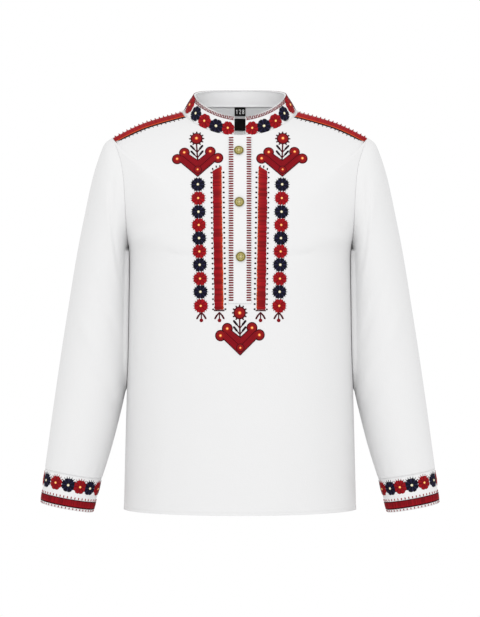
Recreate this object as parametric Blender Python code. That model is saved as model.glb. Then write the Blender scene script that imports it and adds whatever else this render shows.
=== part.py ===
"""Boys' long-sleeved folk shirt with a stand collar and a buttoned front placket.

The shirt keeps its worn form with no wearer in it. Sizes are in millimetres and the
solids in metres. Up is +Z, the front faces -Y and the wearer's left is +X. The origin is
at the base of the neck.
"""

import math

import bmesh
import bpy
import numpy as np

MM = 0.001
FRONT, BACK = -1, 1

SEAM_GAP = 0.3
CLOTH_WALL = 1.5
CUFF_WALL = 2.2
COLLAR_WALL = 2.2
PLACKET_WALL = 1.1
LABEL_WALL = 0.8

PLACKET_HALF = 14.3
COLLAR_OPENING_HALF = 7.2
SIZE_LABEL_HALF = 7.2
NECK_LABEL_HALF = 17.0

BUTTON_RADIUS = 6.1
BUTTON_HOLE_RADIUS = 0.8
BUTTON_HOLE_OFFSET = 1.5
BUTTON_SIDES = 20
HOLE_SIDES = 8
BUTTON_LIFT = 0.45

# The seams around a panel are stationed down from the neck: the shoulder tip, the underarm and the hem.
AT_TIP, AT_UNDERARM, AT_HEM = 3.0, 9.0, 16.2

ARMHOLE_TOP_Z, ARMHOLE_BOTTOM_Z = -29.6, -171.0
ARMHOLE_DEPTH = {FRONT: 48.0, BACK: 46.0}
# x of the armhole at equal turns from the shoulder tip to the underarm
ARMHOLE_X = (165.5, 161.4, 152.6, 148.2, 146.6, 145.4, 144.2)

# station, x, z
SHOULDER_SEAM = (
    (0.0, 72.8, 5.0),
    (1.0, 104.0, -3.2),
    (2.0, 134.0, -13.6),
    (3.0, 165.5, -29.6),
)
SIDE_SEAM = (
    (9.0, 144.2, -171.0),
    (10.0, 144.8, -215.0),
    (12.0, 146.0, -310.0),
    (14.0, 148.4, -405.0),
    (16.2, 151.0, -512.0),
)

# Each row crosses a half panel: its middle point, how far it runs straight out, and the
# pull of the surface where it meets the seam.
# station, middle_y, middle_z, reach, pull_x, pull_y, pull_z
FRONT_ROWS = (
    (0.0, -62.0, -30.8, 40.0, 0.0, -33.0, -11.5),
    (1.0, -74.0, -50.0, 56.0, 0.0, -36.0, -16.0),
    (2.0, -83.0, -72.0, 72.0, -1.0, -38.0, -18.0),
    (3.0, -89.0, -93.0, 84.0, -6.0, -36.0, -18.0),
    (4.0, -93.0, -112.0, 88.0, -18.0, -26.0, -13.0),
    (5.0, -96.0, -130.0, 88.0, -28.0, -20.0, -8.0),
    (6.0, -98.5, -147.0, 88.0, -30.0, -18.0, -5.0),
    (7.0, -100.0, -162.0, 88.0, -22.0, -25.0, -3.0),
    (8.0, -101.0, -175.0, 87.0, -9.0, -42.0, -1.0),
    (9.0, -101.5, -188.0, 85.0, -3.0, -59.0, 0.0),
    (10.0, -102.0, -222.0, 84.0, -3.0, -59.0, 0.0),
    (12.0, -102.0, -312.0, 84.0, -3.0, -58.0, 0.0),
    (14.0, -102.0, -405.0, 84.0, -4.0, -57.0, 0.0),
    (16.2, -103.0, -512.0, 84.0, -5.0, -56.0, 0.0),
)
BACK_ROWS = (
    (0.0, 52.0, 15.8, 40.0, 0.0, 33.0, 11.5),
    (1.0, 68.0, -8.0, 56.0, 0.0, 36.0, -6.0),
    (2.0, 78.0, -32.0, 72.0, -1.0, 38.0, -10.0),
    (3.0, 84.0, -56.0, 84.0, -6.0, 36.0, -12.0),
    (4.0, 88.0, -80.0, 88.0, -18.0, 26.0, -10.0),
    (5.0, 90.0, -103.0, 88.0, -28.0, 20.0, -6.0),
    (6.0, 91.5, -126.0, 88.0, -30.0, 18.0, -4.0),
    (7.0, 92.0, -147.0, 88.0, -22.0, 25.0, -2.0),
    (8.0, 92.0, -165.0, 87.0, -10.0, 39.0, -1.0),
    (9.0, 92.0, -181.0, 85.0, -4.0, 54.0, 0.0),
    (10.0, 92.0, -220.0, 84.0, -4.0, 54.0, 0.0),
    (12.0, 91.0, -312.0, 84.0, -4.0, 53.0, 0.0),
    (14.0, 91.5, -405.0, 84.0, -5.0, 52.0, 0.0),
    (16.2, 93.0, -512.0, 84.0, -6.0, 51.0, 0.0),
)
ROWS = {FRONT: FRONT_ROWS, BACK: BACK_ROWS}

# Sleeve sections from the shoulder (0) to the cuff (13)
# station, outer_x, outer_z, inner_x, inner_z, middle_y, half_depth
SLEEVE_RINGS = (
    (0.0, 165.5, -29.6, 144.2, -171.0, 0.0, 47.5),
    (1.0, 174.4, -36.0, 145.6, -179.0, 0.7, 49.0),
    (2.0, 180.5, -48.0, 145.6, -188.0, 2.1, 50.0),
    (3.0, 188.0, -70.0, 145.0, -198.0, 3.8, 50.5),
    (4.0, 195.0, -97.0, 144.5, -211.0, 5.6, 50.5),
    (5.0, 202.0, -130.0, 144.0, -228.0, 7.0, 50.0),
    (6.0, 209.5, -167.0, 144.0, -249.0, 8.0, 49.0),
    (7.0, 217.0, -210.0, 143.5, -274.0, 8.8, 48.0),
    (8.0, 224.5, -257.0, 143.5, -303.0, 8.8, 47.0),
    (9.0, 232.0, -305.0, 145.0, -334.0, 8.0, 45.5),
    (10.0, 238.5, -350.0, 150.5, -367.0, 6.6, 43.5),
    (11.0, 244.5, -393.0, 159.0, -403.0, 4.5, 41.0),
    (12.0, 249.0, -428.0, 168.5, -438.0, 2.1, 37.5),
    (13.0, 252.8, -459.0, 179.5, -472.0, 0.0, 33.0),
)
CUFF_END = (0.0, 258.4, -503.0, 190.7, -515.6, -6.0, 31.0)
SLEEVE_CLEARANCE = 1.3
CLEARANCE_FULL_AT = 3.0
CLEARANCE_SOFTNESS = 1.8

# Top edge of the collar: where it crosses the side, then each half as in the panel rows
RIM_SIDE = (60.0, -1.0, 26.6)
# middle_y, middle_z, reach, pull_y, pull_z
RIM = {FRONT: (-52.0, -6.5, 30.0, -24.0, -9.0), BACK: (45.0, 36.0, 33.0, 26.0, 8.0)}

SHOULDER_STATIONS = (0.0, 0.55, 1.27, 2.1)
ARMHOLE_STEPS = 9
SIDE_STATIONS = (9.75, 10.5, 11.6, 12.8, 14.0, 15.1, 16.2)
PLACKET_END_STATION = 10.5
FRONT_COLUMNS = 8
BACK_COLUMNS = 8
SLEEVE_STATIONS = (0, 0.6, 1.3, 2.1, 3, 4, 5, 6, 7, 8, 9, 10, 11, 12, 13)
CUFF_STEPS = 2
COLLAR_STEPS = 2

# station along the back panel where each label starts and ends
SIZE_LABEL_ROWS = (0.03, 0.47)
NECK_LABEL_ROWS = (0.62, 1.26)

# x, z of the button centres
BUTTONS = ((-1.5, -52.1), (-0.9, -117.7), (0.9, -186.4))
# radius and height of the button's profile
BUTTON_PROFILE = (
    (5.0, 0.0),
    (5.9, 0.5),
    (6.1, 1.2),
    (5.8, 1.9),
    (5.0, 2.1),
    (4.2, 1.6),
)

# red, green, blue, roughness
MATERIALS = {
    "white_cotton": (0.80, 0.80, 0.80, 0.85),
    "white_trim": (0.78, 0.78, 0.79, 0.85),
    "gold_button": (0.62, 0.52, 0.27, 0.45),
    "black_label": (0.015, 0.015, 0.017, 0.70),
}


def spline(table, at):
    """Natural cubic spline through the rows of a table, whose first column is the station."""
    table = np.asarray(table, float)
    station, value = table[:, 0], table[:, 1:]
    count, step = len(station), np.diff(station)
    left, right = np.eye(count), np.zeros_like(value)
    for i in range(1, count - 1):
        left[i, i - 1 : i + 2] = step[i - 1], 2 * (step[i - 1] + step[i]), step[i]
        rise_after = (value[i + 1] - value[i]) / step[i]
        rise_before = (value[i] - value[i - 1]) / step[i - 1]
        right[i] = 6 * (rise_after - rise_before)
    bend = np.linalg.solve(left, right)
    at = np.clip(np.asarray(at, float), station[0], station[-1])
    k = np.clip(np.searchsorted(station, at, side="right") - 1, 0, count - 2)
    a = ((station[k + 1] - at) / step[k])[..., None]
    b = ((at - station[k]) / step[k])[..., None]
    wave = ((a**3 - a) * bend[k] + (b**3 - b) * bend[k + 1]) * step[k][..., None] ** 2 / 6
    return np.moveaxis(a * value[k] + b * value[k + 1] + wave, -1, 0)


def bezier(start, lead, pull, end, t):
    t = np.asarray(t, float)[..., None]
    return (1 - t) ** 3 * start + 3 * (1 - t) ** 2 * t * lead + 3 * (1 - t) * t**2 * pull + t**3 * end


def points(x, y, z):
    return np.stack(np.broadcast_arrays(np.asarray(x, float), y, z), -1)


def unit(vectors):
    return vectors / np.maximum(np.linalg.norm(vectors, axis=-1, keepdims=True), 1e-9)


def seam_edge(side, station):
    """The seam that bounds a half panel: the shoulder, then the armhole, then the side."""
    station = np.asarray(station, float)
    shoulder_x, shoulder_z = spline(SHOULDER_SEAM, np.clip(station, 0, AT_TIP))
    side_x, side_z = spline(SIDE_SEAM, np.clip(station, AT_UNDERARM, AT_HEM))
    turn = np.clip((station - AT_TIP) / (AT_UNDERARM - AT_TIP), 0, 1) * math.pi
    table = [(i * math.pi / 6, x) for i, x in enumerate(ARMHOLE_X)]
    (arm_x,) = spline(table, turn)
    half_height = (ARMHOLE_TOP_Z - ARMHOLE_BOTTOM_Z) / 2
    arm_z = ARMHOLE_BOTTOM_Z + half_height * (1 + np.cos(turn))
    before, within = station <= AT_TIP, station < AT_UNDERARM
    x = np.where(before, shoulder_x, np.where(within, arm_x, side_x))
    z = np.where(before, shoulder_z, np.where(within, arm_z, side_z))
    return points(x, side * (SEAM_GAP / 2 + ARMHOLE_DEPTH[side] * np.sin(turn)), z)


def panel(side, t, station):
    """A half panel: t from its middle line (0) to its seam (1), stations down from the neck."""
    t, station = np.broadcast_arrays(np.asarray(t, float), np.asarray(station, float))
    middle_y, middle_z, reach, pull_x, pull_y, pull_z = spline(ROWS[side], station)
    end = seam_edge(side, station)
    start, lead = points(0, middle_y, middle_z), points(reach, middle_y, middle_z)
    return bezier(start, lead, end + points(pull_x, pull_y, pull_z), end, t)


def solve(function, target, low, high):
    """The value between low and high at which a rising function reaches the target."""
    low, high = np.broadcast_arrays(np.asarray(low, float), high)
    for _ in range(26):
        middle = (low + high) / 2
        under = function(middle) < target
        low, high = np.where(under, middle, low), np.where(under, high, middle)
    return (low + high) / 2


def body_x(y, z):
    """x of the body's side below the underarm, at a given depth and height."""
    heights, stations = [-row[2] for row in SIDE_SEAM], [row[0] for row in SIDE_SEAM]
    station = np.interp(-z, heights, stations)
    found = []
    for side in (FRONT, BACK):
        depth = np.maximum(side * y, 0.2)
        t = solve(lambda t: -side * panel(side, t, station)[..., 1], -depth, 0, 1 + 0 * depth)
        found.append(panel(side, t, station)[..., 0])
    return np.where(y < 0, found[0], found[1])


def armhole(turn):
    """The armhole as a loop: the shoulder tip at 0, the front at a quarter turn."""
    turn = np.mod(turn, 2 * math.pi)
    fore = turn <= math.pi
    share = np.where(fore, turn, 2 * math.pi - turn) / math.pi
    station = AT_TIP + (AT_UNDERARM - AT_TIP) * share
    return np.where(fore[..., None], seam_edge(FRONT, station), seam_edge(BACK, station))


def ring(row, turn):
    outer_x, outer_z, inner_x, inner_z, middle_y, half_depth = row
    c, s = np.cos(turn), np.sin(turn)
    x = (outer_x + inner_x) / 2 + c * (outer_x - inner_x) / 2
    z = (outer_z + inner_z) / 2 + c * (outer_z - inner_z) / 2
    return points(x, middle_y - s * half_depth, z)


def sleeve(turn, station):
    """The left sleeve: it starts on the armhole and hangs just clear of the body."""
    turn, station = np.broadcast_arrays(np.asarray(turn, float), np.asarray(station, float))
    place = ring(spline(SLEEVE_RINGS, station), turn)
    fade = np.clip(1 - station / 3, 0, 1)
    fade = (fade * fade * (3 - 2 * fade))[..., None]
    place = place + fade * (armhole(turn) - ring(spline(SLEEVE_RINGS, 0 * station), turn))
    share = np.clip(station / CLEARANCE_FULL_AT, 0, 1)
    limit = body_x(place[..., 1], place[..., 2]) + SLEEVE_CLEARANCE * share
    over = place[..., 0] - limit
    pushed = limit + (over + np.sqrt(over**2 + CLEARANCE_SOFTNESS**2 * share)) / 2
    below = place[..., 2] < ARMHOLE_BOTTOM_Z
    push = np.where(below, pushed - place[..., 0], 0)
    place[..., 0] += push + SEAM_GAP
    return place


def cuff(turn, share):
    start = ring(spline(SLEEVE_RINGS, 0 * turn + SLEEVE_RINGS[-1][0]), turn)
    end = ring(CUFF_END[1:], turn)
    along = unit(end - start)
    start = sleeve(turn, 0 * turn + SLEEVE_RINGS[-1][0]) + along * SEAM_GAP
    return start + (end - start) * share[..., None]


def rim(side, t):
    middle_y, middle_z, reach, pull_y, pull_z = RIM[side]
    end = np.array(RIM_SIDE)
    start, lead = points(0, middle_y, middle_z), points(reach, middle_y, middle_z)
    return bezier(start, lead, end + points(0, pull_y, pull_z), end, t)


def triangles(rows, columns, wrap):
    """Triangles of a grid, with the diagonals mirrored about its middle column."""
    span = columns if wrap else columns - 1
    faces = []
    for i in range(rows - 1):
        for j in range(span):
            k = (j + 1) % columns
            a, b = i * columns + j, i * columns + k
            c, d = (i + 1) * columns + k, (i + 1) * columns + j
            if 2 * j < span:
                faces += [(a, b, c), (a, c, d)]
            else:
                faces += [(a, b, d), (b, c, d)]
    return faces


def grid_normals(grid, wrap=False):
    rows, columns = grid.shape[:2]
    flat = grid.reshape(-1, 3)
    faces = np.array(triangles(rows, columns, wrap))
    area = np.cross(flat[faces[:, 1]] - flat[faces[:, 0]], flat[faces[:, 2]] - flat[faces[:, 0]])
    total = np.zeros_like(flat)
    for corner in range(3):
        np.add.at(total, faces[:, corner], area)
    return unit(total).reshape(grid.shape)


def material(name):
    made = bpy.data.materials.get(name)
    if made is None:
        made = bpy.data.materials.new(name)
        made.use_nodes = True
        red, green, blue, roughness = MATERIALS[name]
        shader = made.node_tree.nodes["Principled BSDF"]
        shader.inputs["Base Color"].default_value = (red, green, blue, 1)
        shader.inputs["Roughness"].default_value = roughness
        made.diffuse_color = (red, green, blue, 1)
    return made


def add_object(name, mesh, slot, collection):
    made = bpy.data.objects.new(name, mesh)
    mesh.materials.append(material(slot))
    collection.objects.link(made)
    return made


def add_wall(name, outer, inner, slot, collection, wrap=False):
    """A closed solid between two grids of points that face each other."""
    rows, columns = outer.shape[:2]
    count = rows * columns
    faces = triangles(rows, columns, wrap)
    faces += [tuple(count + i for i in reversed(face)) for face in triangles(rows, columns, wrap)]
    border = []
    span = columns if wrap else columns - 1
    for j in range(span):
        k = (j + 1) % columns
        border.append((k, j))
        border.append(((rows - 1) * columns + j, (rows - 1) * columns + k))
    if not wrap:
        for i in range(rows - 1):
            border.append((i * columns, (i + 1) * columns))
            border.append(((i + 2) * columns - 1, (i + 1) * columns - 1))
    for a, b in border:
        faces += [(a, b, count + b), (a, count + b, count + a)]
    places = np.concatenate([outer.reshape(-1, 3), inner.reshape(-1, 3)]) * MM
    mesh = bpy.data.meshes.new(name)
    mesh.from_pydata(places.tolist(), [], faces)
    work = bmesh.new()
    work.from_mesh(mesh)
    bmesh.ops.recalc_face_normals(work, faces=work.faces[:])
    work.to_mesh(mesh)
    work.free()
    return add_object(name, mesh, slot, collection)


def stations():
    step = (AT_UNDERARM - AT_TIP) / ARMHOLE_STEPS
    around = [AT_TIP + i * step for i in range(ARMHOLE_STEPS + 1)]
    return np.array([*SHOULDER_STATIONS, *around, *SIDE_STATIONS])


def panel_grid(side, middle_columns, columns):
    """Grid over a whole panel with columns at set distances from its middle line."""
    down = stations()
    half = []
    for x in middle_columns:
        t = solve(lambda t: panel(side, t, down)[..., 0], x, 0 * down, 0.6)
        half.append(0 * down if x == 0 else t)
    last = half[-1]
    for j in range(1, columns + 1):
        half.append(last + (1 - last) * j / columns)
    right = np.stack([panel(side, t, down) for t in half], 1)
    left = right[:, :0:-1] * (-1, 1, 1)
    return np.concatenate([left, right], 1), np.array(half)


def sample(grid, row, column):
    """Point of a grid at fractional row and column numbers."""
    i, j = min(int(row), grid.shape[0] - 2), min(int(column), grid.shape[1] - 2)
    r, c = row - i, column - j
    upper = grid[i, j] * (1 - c) + grid[i, j + 1] * c
    lower = grid[i + 1, j] * (1 - c) + grid[i + 1, j + 1] * c
    return upper * (1 - r) + lower * r


def share_normals(front, back, sleeve_ring, n_front, n_back, n_sleeve):
    """Gives the walls on both sides of a seam the same direction where they run on."""
    turns = sleeve_ring.shape[0]
    for columns in (0, -1):
        for i in range(front.shape[0]):
            station = stations()[i]
            if station < AT_TIP or station > AT_UNDERARM:
                both = unit(n_front[i, columns] + n_back[i, columns])
                n_front[i, columns] = n_back[i, columns] = both
    mirror = np.array((-1, 1, 1))
    first = len(SHOULDER_STATIONS)
    for column, flip in ((-1, 1), (0, mirror)):
        for step in range(turns):
            fore = step <= ARMHOLE_STEPS
            i = first + (step if fore else turns - step)
            n_sleeve_here = n_sleeve[0, step] * flip
            panels = [n_front] if fore else [n_back]
            if step in (0, ARMHOLE_STEPS):
                both = unit(n_front[i, column] + n_back[i, column])
                n_front[i, column] = n_back[i, column] = both
                panels = [n_front, n_back]
            own = panels[0][i, column].copy()
            share = np.clip(2 * np.dot(own, n_sleeve_here) - 1, 0, 1)
            for normals in panels:
                normals[i, column] = unit(own + share * n_sleeve_here)
            if column == -1:
                n_sleeve[0, step] = unit(n_sleeve[0, step] + share * own)


def collar_grid(front, back, front_t, back_t):
    """The stand collar from its right front end around the back to its left front end."""
    middle_f, middle_b = (front.shape[1] - 1) // 2, (back.shape[1] - 1) // 2
    first_t = front_t[1, 0]
    rim_t = solve(lambda t: rim(FRONT, t)[..., 0], COLLAR_OPENING_HALF, 0.0, 0.6)
    base, top = [], []
    for j in range(1, front_t.shape[0] - 1):
        share = (front_t[j, 0] - first_t) / (1 - first_t)
        base.append(front[0, middle_f + j])
        top.append(rim(FRONT, rim_t + (1 - rim_t) * share))
    base.append((front[0, -1] + back[0, -1]) / 2)
    top.append(np.array(RIM_SIDE))
    for j in range(back_t.shape[0] - 2, -1, -1):
        base.append(back[0, middle_b + j])
        top.append(rim(BACK, back_t[j, 0]))
    base, top = np.array(base), np.array(top)
    mirror = np.array((-1, 1, 1))
    base = np.concatenate([base[:-1], base[::-1] * mirror])
    top = np.concatenate([top[:-1], top[::-1] * mirror])
    start = base + unit(top - base) * SEAM_GAP
    share = np.linspace(1, 0, COLLAR_STEPS + 1)[:, None, None]
    return start + (top - start) * share


def make_button(name, centre, toward, collection):
    """A round dished button with four holes, facing along a direction."""
    work = bmesh.new()
    turn = [2 * math.pi * i / BUTTON_SIDES for i in range(BUTTON_SIDES)]
    rings = []
    for radius, height in BUTTON_PROFILE:
        rings.append([work.verts.new((radius * math.cos(a), radius * math.sin(a), height)) for a in turn])
    for lower, upper in zip(rings, rings[1:]):
        for i in range(BUTTON_SIDES):
            k = (i + 1) % BUTTON_SIDES
            work.faces.new((lower[i], lower[k], upper[k], upper[i]))
    heights = (BUTTON_PROFILE[0][1], BUTTON_PROFILE[-1][1])
    for height, outline in zip(heights, (rings[0], rings[-1])):
        edges = [work.edges.get((outline[i], outline[(i + 1) % BUTTON_SIDES])) for i in range(BUTTON_SIDES)]
        for sign_x in (-1, 1):
            for sign_y in (-1, 1):
                hole = []
                for i in range(HOLE_SIDES):
                    a = 2 * math.pi * (i + 0.5) / HOLE_SIDES
                    x = sign_x * BUTTON_HOLE_OFFSET + BUTTON_HOLE_RADIUS * math.cos(a)
                    y = sign_y * BUTTON_HOLE_OFFSET + BUTTON_HOLE_RADIUS * math.sin(a)
                    hole.append(work.verts.new((x, y, height)))
                edges += [work.edges.new((hole[i], hole[(i + 1) % HOLE_SIDES])) for i in range(HOLE_SIDES)]
        normal = (0, 0, -1) if height == 0 else (0, 0, 1)
        bmesh.ops.triangle_fill(work, edges=edges, use_beauty=True, normal=normal)
    work.verts.ensure_lookup_table()
    body = BUTTON_SIDES * len(BUTTON_PROFILE)
    for hole in range(4):
        low, high = body + hole * HOLE_SIDES, body + (hole + 4) * HOLE_SIDES
        for i in range(HOLE_SIDES):
            k = (i + 1) % HOLE_SIDES
            corners = (low + i, high + i, high + k, low + k)
            work.faces.new([work.verts[c] for c in corners])
    bmesh.ops.triangulate(work, faces=work.faces[:])
    bmesh.ops.recalc_face_normals(work, faces=work.faces[:])
    across = unit(np.cross((0.0, 0.0, 1.0), toward))
    upward = np.cross(toward, across)
    for vert in work.verts:
        x, y, z = vert.co
        vert.co = (centre + across * x + upward * y + toward * z) * MM
    mesh = bpy.data.meshes.new(name)
    work.to_mesh(mesh)
    work.free()
    return add_object(name, mesh, "gold_button", collection)


def build():
    for old in list(bpy.data.objects):
        bpy.data.objects.remove(old)
    collection = bpy.data.collections.new("shirt")
    bpy.context.scene.collection.children.link(collection)
    mirror = np.array((-1, 1, 1))

    front, front_t = panel_grid(FRONT, (0.0, COLLAR_OPENING_HALF, PLACKET_HALF), FRONT_COLUMNS)
    back, back_t = panel_grid(BACK, (0.0, NECK_LABEL_HALF), BACK_COLUMNS)
    turn = np.arange(2 * ARMHOLE_STEPS) * math.pi / ARMHOLE_STEPS
    tube = sleeve(turn[None, :], np.array(SLEEVE_STATIONS, float)[:, None])
    # Seen from outside, rows run down and columns run to the right on each side.
    n_front = -grid_normals(front)
    n_back = grid_normals(back)
    n_sleeve = grid_normals(tube, wrap=True)
    if n_sleeve[5, 0, 0] < 0:
        n_sleeve = -n_sleeve
    if n_front[10, 10, 1] > 0:
        n_front = -n_front
    if n_back[10, 9, 1] < 0:
        n_back = -n_back
    share_normals(front, back, tube[0], n_front, n_back, n_sleeve)

    add_wall("front", front, front - n_front * CLOTH_WALL, "white_cotton", collection)
    back_inner = back - n_back * CLOTH_WALL
    add_wall("back", back, back_inner, "white_cotton", collection)
    tube_inner = tube - n_sleeve * CLOTH_WALL
    add_wall("sleeve_left", tube, tube_inner, "white_cotton", collection, wrap=True)
    add_wall("sleeve_right", tube * mirror, tube_inner * mirror, "white_cotton", collection, wrap=True)

    share = np.linspace(0, 1, CUFF_STEPS + 1)[:, None]
    band = cuff(turn[None, :] + 0 * share, share + 0 * turn[None, :])
    n_band = grid_normals(band, wrap=True)
    if n_band[0, 0, 0] < 0:
        n_band = -n_band
    band_inner = band - n_band * CUFF_WALL
    add_wall("cuff_left", band, band_inner, "white_trim", collection, wrap=True)
    add_wall("cuff_right", band * mirror, band_inner * mirror, "white_trim", collection, wrap=True)

    stand = collar_grid(front, back, front_t, back_t)
    n_stand = grid_normals(stand)
    if n_stand[0, 0, 1] > 0:
        n_stand = -n_stand
    add_wall("collar", stand, stand - n_stand * COLLAR_WALL, "white_trim", collection)

    middle = (front.shape[1] - 1) // 2
    last = list(stations()).index(PLACKET_END_STATION)
    strip = front[: last + 1, middle - 2 : middle + 3]
    n_strip = n_front[: last + 1, middle - 2 : middle + 3]
    low, high = SEAM_GAP, SEAM_GAP + PLACKET_WALL
    add_wall("placket", strip + n_strip * high, strip + n_strip * low, "white_trim", collection)

    middle = (back.shape[1] - 1) // 2
    down = stations()
    labels = (
        ("size_label", SIZE_LABEL_ROWS, SIZE_LABEL_HALF),
        ("neck_label", NECK_LABEL_ROWS, NECK_LABEL_HALF),
    )
    for name, rows, half in labels:
        places, toward = [], []
        for station in rows:
            row = float(np.interp(station, down, np.arange(len(down))))
            for side in (-1, 0, 1):
                column = middle + side * half / NECK_LABEL_HALF
                places.append(sample(back_inner, row, column))
                toward.append(sample(n_back, row, column))
        places = np.array(places).reshape(2, 3, 3)
        toward = unit(np.array(toward).reshape(2, 3, 3))
        near, far = SEAM_GAP, SEAM_GAP + LABEL_WALL
        add_wall(name, places - toward * near, places - toward * far, "black_label", collection)

    for number, (x, z) in enumerate(BUTTONS, 1):
        station = solve(lambda s: -panel(FRONT, 0, s)[..., 2], -z, 0.0, AT_HEM)
        above, below = panel(FRONT, 0, station - 0.1), panel(FRONT, 0, station + 0.1)
        fall = unit(below - above)
        toward = np.array((0.0, fall[2], -fall[1]))
        lift = SEAM_GAP + PLACKET_WALL + BUTTON_LIFT
        centre = panel(FRONT, 0, station) * (0, 1, 1) + (x, 0, 0) + toward * lift
        make_button(f"button_{number}", centre, toward, collection)


build()
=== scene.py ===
"""Looks of the folk shirt: fine cloth on the form of its solids, and the embroidery sewn on it.

Sizes are in millimetres until a mesh is made. Up is +Z, the front faces -Y and the wearer's
left is +X. The cloth surfaces are the same as the solids', with soft creases added.
"""

import math

import bmesh
import bpy
import numpy as np
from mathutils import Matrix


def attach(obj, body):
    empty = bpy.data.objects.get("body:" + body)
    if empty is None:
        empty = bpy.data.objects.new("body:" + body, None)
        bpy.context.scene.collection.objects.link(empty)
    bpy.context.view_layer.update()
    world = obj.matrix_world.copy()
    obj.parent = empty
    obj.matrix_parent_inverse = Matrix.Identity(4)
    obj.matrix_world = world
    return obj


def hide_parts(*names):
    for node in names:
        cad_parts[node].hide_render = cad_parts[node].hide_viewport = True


MM = 0.001
FRONT, BACK = -1, 1

SEAM_GAP = 0.3

PLACKET_HALF = 14.3
COLLAR_OPENING_HALF = 7.2
SIZE_LABEL_HALF = 7.2
NECK_LABEL_HALF = 17.0

# The seams around a panel are stationed down from the neck: the shoulder tip, the underarm
# and the hem.
AT_TIP, AT_UNDERARM, AT_HEM = 3.0, 9.0, 16.2

ARMHOLE_TOP_Z, ARMHOLE_BOTTOM_Z = -29.6, -171.0
ARMHOLE_DEPTH = {FRONT: 48.0, BACK: 46.0}
# x of the armhole at equal turns from the shoulder tip to the underarm
ARMHOLE_X = (165.5, 161.4, 152.6, 148.2, 146.6, 145.4, 144.2)

# station, x, z
SHOULDER_SEAM = (
    (0.0, 72.8, 5.0),
    (1.0, 104.0, -3.2),
    (2.0, 134.0, -13.6),
    (3.0, 165.5, -29.6),
)
SIDE_SEAM = (
    (9.0, 144.2, -171.0),
    (10.0, 144.8, -215.0),
    (12.0, 146.0, -310.0),
    (14.0, 148.4, -405.0),
    (16.2, 151.0, -512.0),
)

# Each row crosses a half panel: its middle point, how far it runs straight out, and the
# pull of the surface where it meets the seam.
# station, middle_y, middle_z, reach, pull_x, pull_y, pull_z
FRONT_ROWS = (
    (0.0, -62.0, -30.8, 40.0, 0.0, -33.0, -11.5),
    (1.0, -74.0, -50.0, 56.0, 0.0, -36.0, -16.0),
    (2.0, -83.0, -72.0, 72.0, -1.0, -38.0, -18.0),
    (3.0, -89.0, -93.0, 84.0, -6.0, -36.0, -18.0),
    (4.0, -93.0, -112.0, 88.0, -18.0, -26.0, -13.0),
    (5.0, -96.0, -130.0, 88.0, -28.0, -20.0, -8.0),
    (6.0, -98.5, -147.0, 88.0, -30.0, -18.0, -5.0),
    (7.0, -100.0, -162.0, 88.0, -22.0, -25.0, -3.0),
    (8.0, -101.0, -175.0, 87.0, -9.0, -42.0, -1.0),
    (9.0, -101.5, -188.0, 85.0, -3.0, -59.0, 0.0),
    (10.0, -102.0, -222.0, 84.0, -3.0, -59.0, 0.0),
    (12.0, -102.0, -312.0, 84.0, -3.0, -58.0, 0.0),
    (14.0, -102.0, -405.0, 84.0, -4.0, -57.0, 0.0),
    (16.2, -103.0, -512.0, 84.0, -5.0, -56.0, 0.0),
)
BACK_ROWS = (
    (0.0, 52.0, 15.8, 40.0, 0.0, 33.0, 11.5),
    (1.0, 68.0, -8.0, 56.0, 0.0, 36.0, -6.0),
    (2.0, 78.0, -32.0, 72.0, -1.0, 38.0, -10.0),
    (3.0, 84.0, -56.0, 84.0, -6.0, 36.0, -12.0),
    (4.0, 88.0, -80.0, 88.0, -18.0, 26.0, -10.0),
    (5.0, 90.0, -103.0, 88.0, -28.0, 20.0, -6.0),
    (6.0, 91.5, -126.0, 88.0, -30.0, 18.0, -4.0),
    (7.0, 92.0, -147.0, 88.0, -22.0, 25.0, -2.0),
    (8.0, 92.0, -165.0, 87.0, -10.0, 39.0, -1.0),
    (9.0, 92.0, -181.0, 85.0, -4.0, 54.0, 0.0),
    (10.0, 92.0, -220.0, 84.0, -4.0, 54.0, 0.0),
    (12.0, 91.0, -312.0, 84.0, -4.0, 53.0, 0.0),
    (14.0, 91.5, -405.0, 84.0, -5.0, 52.0, 0.0),
    (16.2, 93.0, -512.0, 84.0, -6.0, 51.0, 0.0),
)
ROWS = {FRONT: FRONT_ROWS, BACK: BACK_ROWS}

# Sleeve sections from the shoulder (0) to the cuff (13)
# station, outer_x, outer_z, inner_x, inner_z, middle_y, half_depth
SLEEVE_RINGS = (
    (0.0, 165.5, -29.6, 144.2, -171.0, 0.0, 47.5),
    (1.0, 174.4, -36.0, 145.6, -179.0, 0.7, 49.0),
    (2.0, 180.5, -48.0, 145.6, -188.0, 2.1, 50.0),
    (3.0, 188.0, -70.0, 145.0, -198.0, 3.8, 50.5),
    (4.0, 195.0, -97.0, 144.5, -211.0, 5.6, 50.5),
    (5.0, 202.0, -130.0, 144.0, -228.0, 7.0, 50.0),
    (6.0, 209.5, -167.0, 144.0, -249.0, 8.0, 49.0),
    (7.0, 217.0, -210.0, 143.5, -274.0, 8.8, 48.0),
    (8.0, 224.5, -257.0, 143.5, -303.0, 8.8, 47.0),
    (9.0, 232.0, -305.0, 145.0, -334.0, 8.0, 45.5),
    (10.0, 238.5, -350.0, 150.5, -367.0, 6.6, 43.5),
    (11.0, 244.5, -393.0, 159.0, -403.0, 4.5, 41.0),
    (12.0, 249.0, -428.0, 168.5, -438.0, 2.1, 37.5),
    (13.0, 252.8, -459.0, 179.5, -472.0, 0.0, 33.0),
)
CUFF_END = (0.0, 258.4, -503.0, 190.7, -515.6, -6.0, 31.0)
SLEEVE_CLEARANCE = 0.12
CLEARANCE_FULL_AT = 3.0
CLEARANCE_SOFTNESS = 0.2
# stations over which the sleeve's round section grows out of the armhole
ARMHOLE_FADE = 3.0
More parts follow.
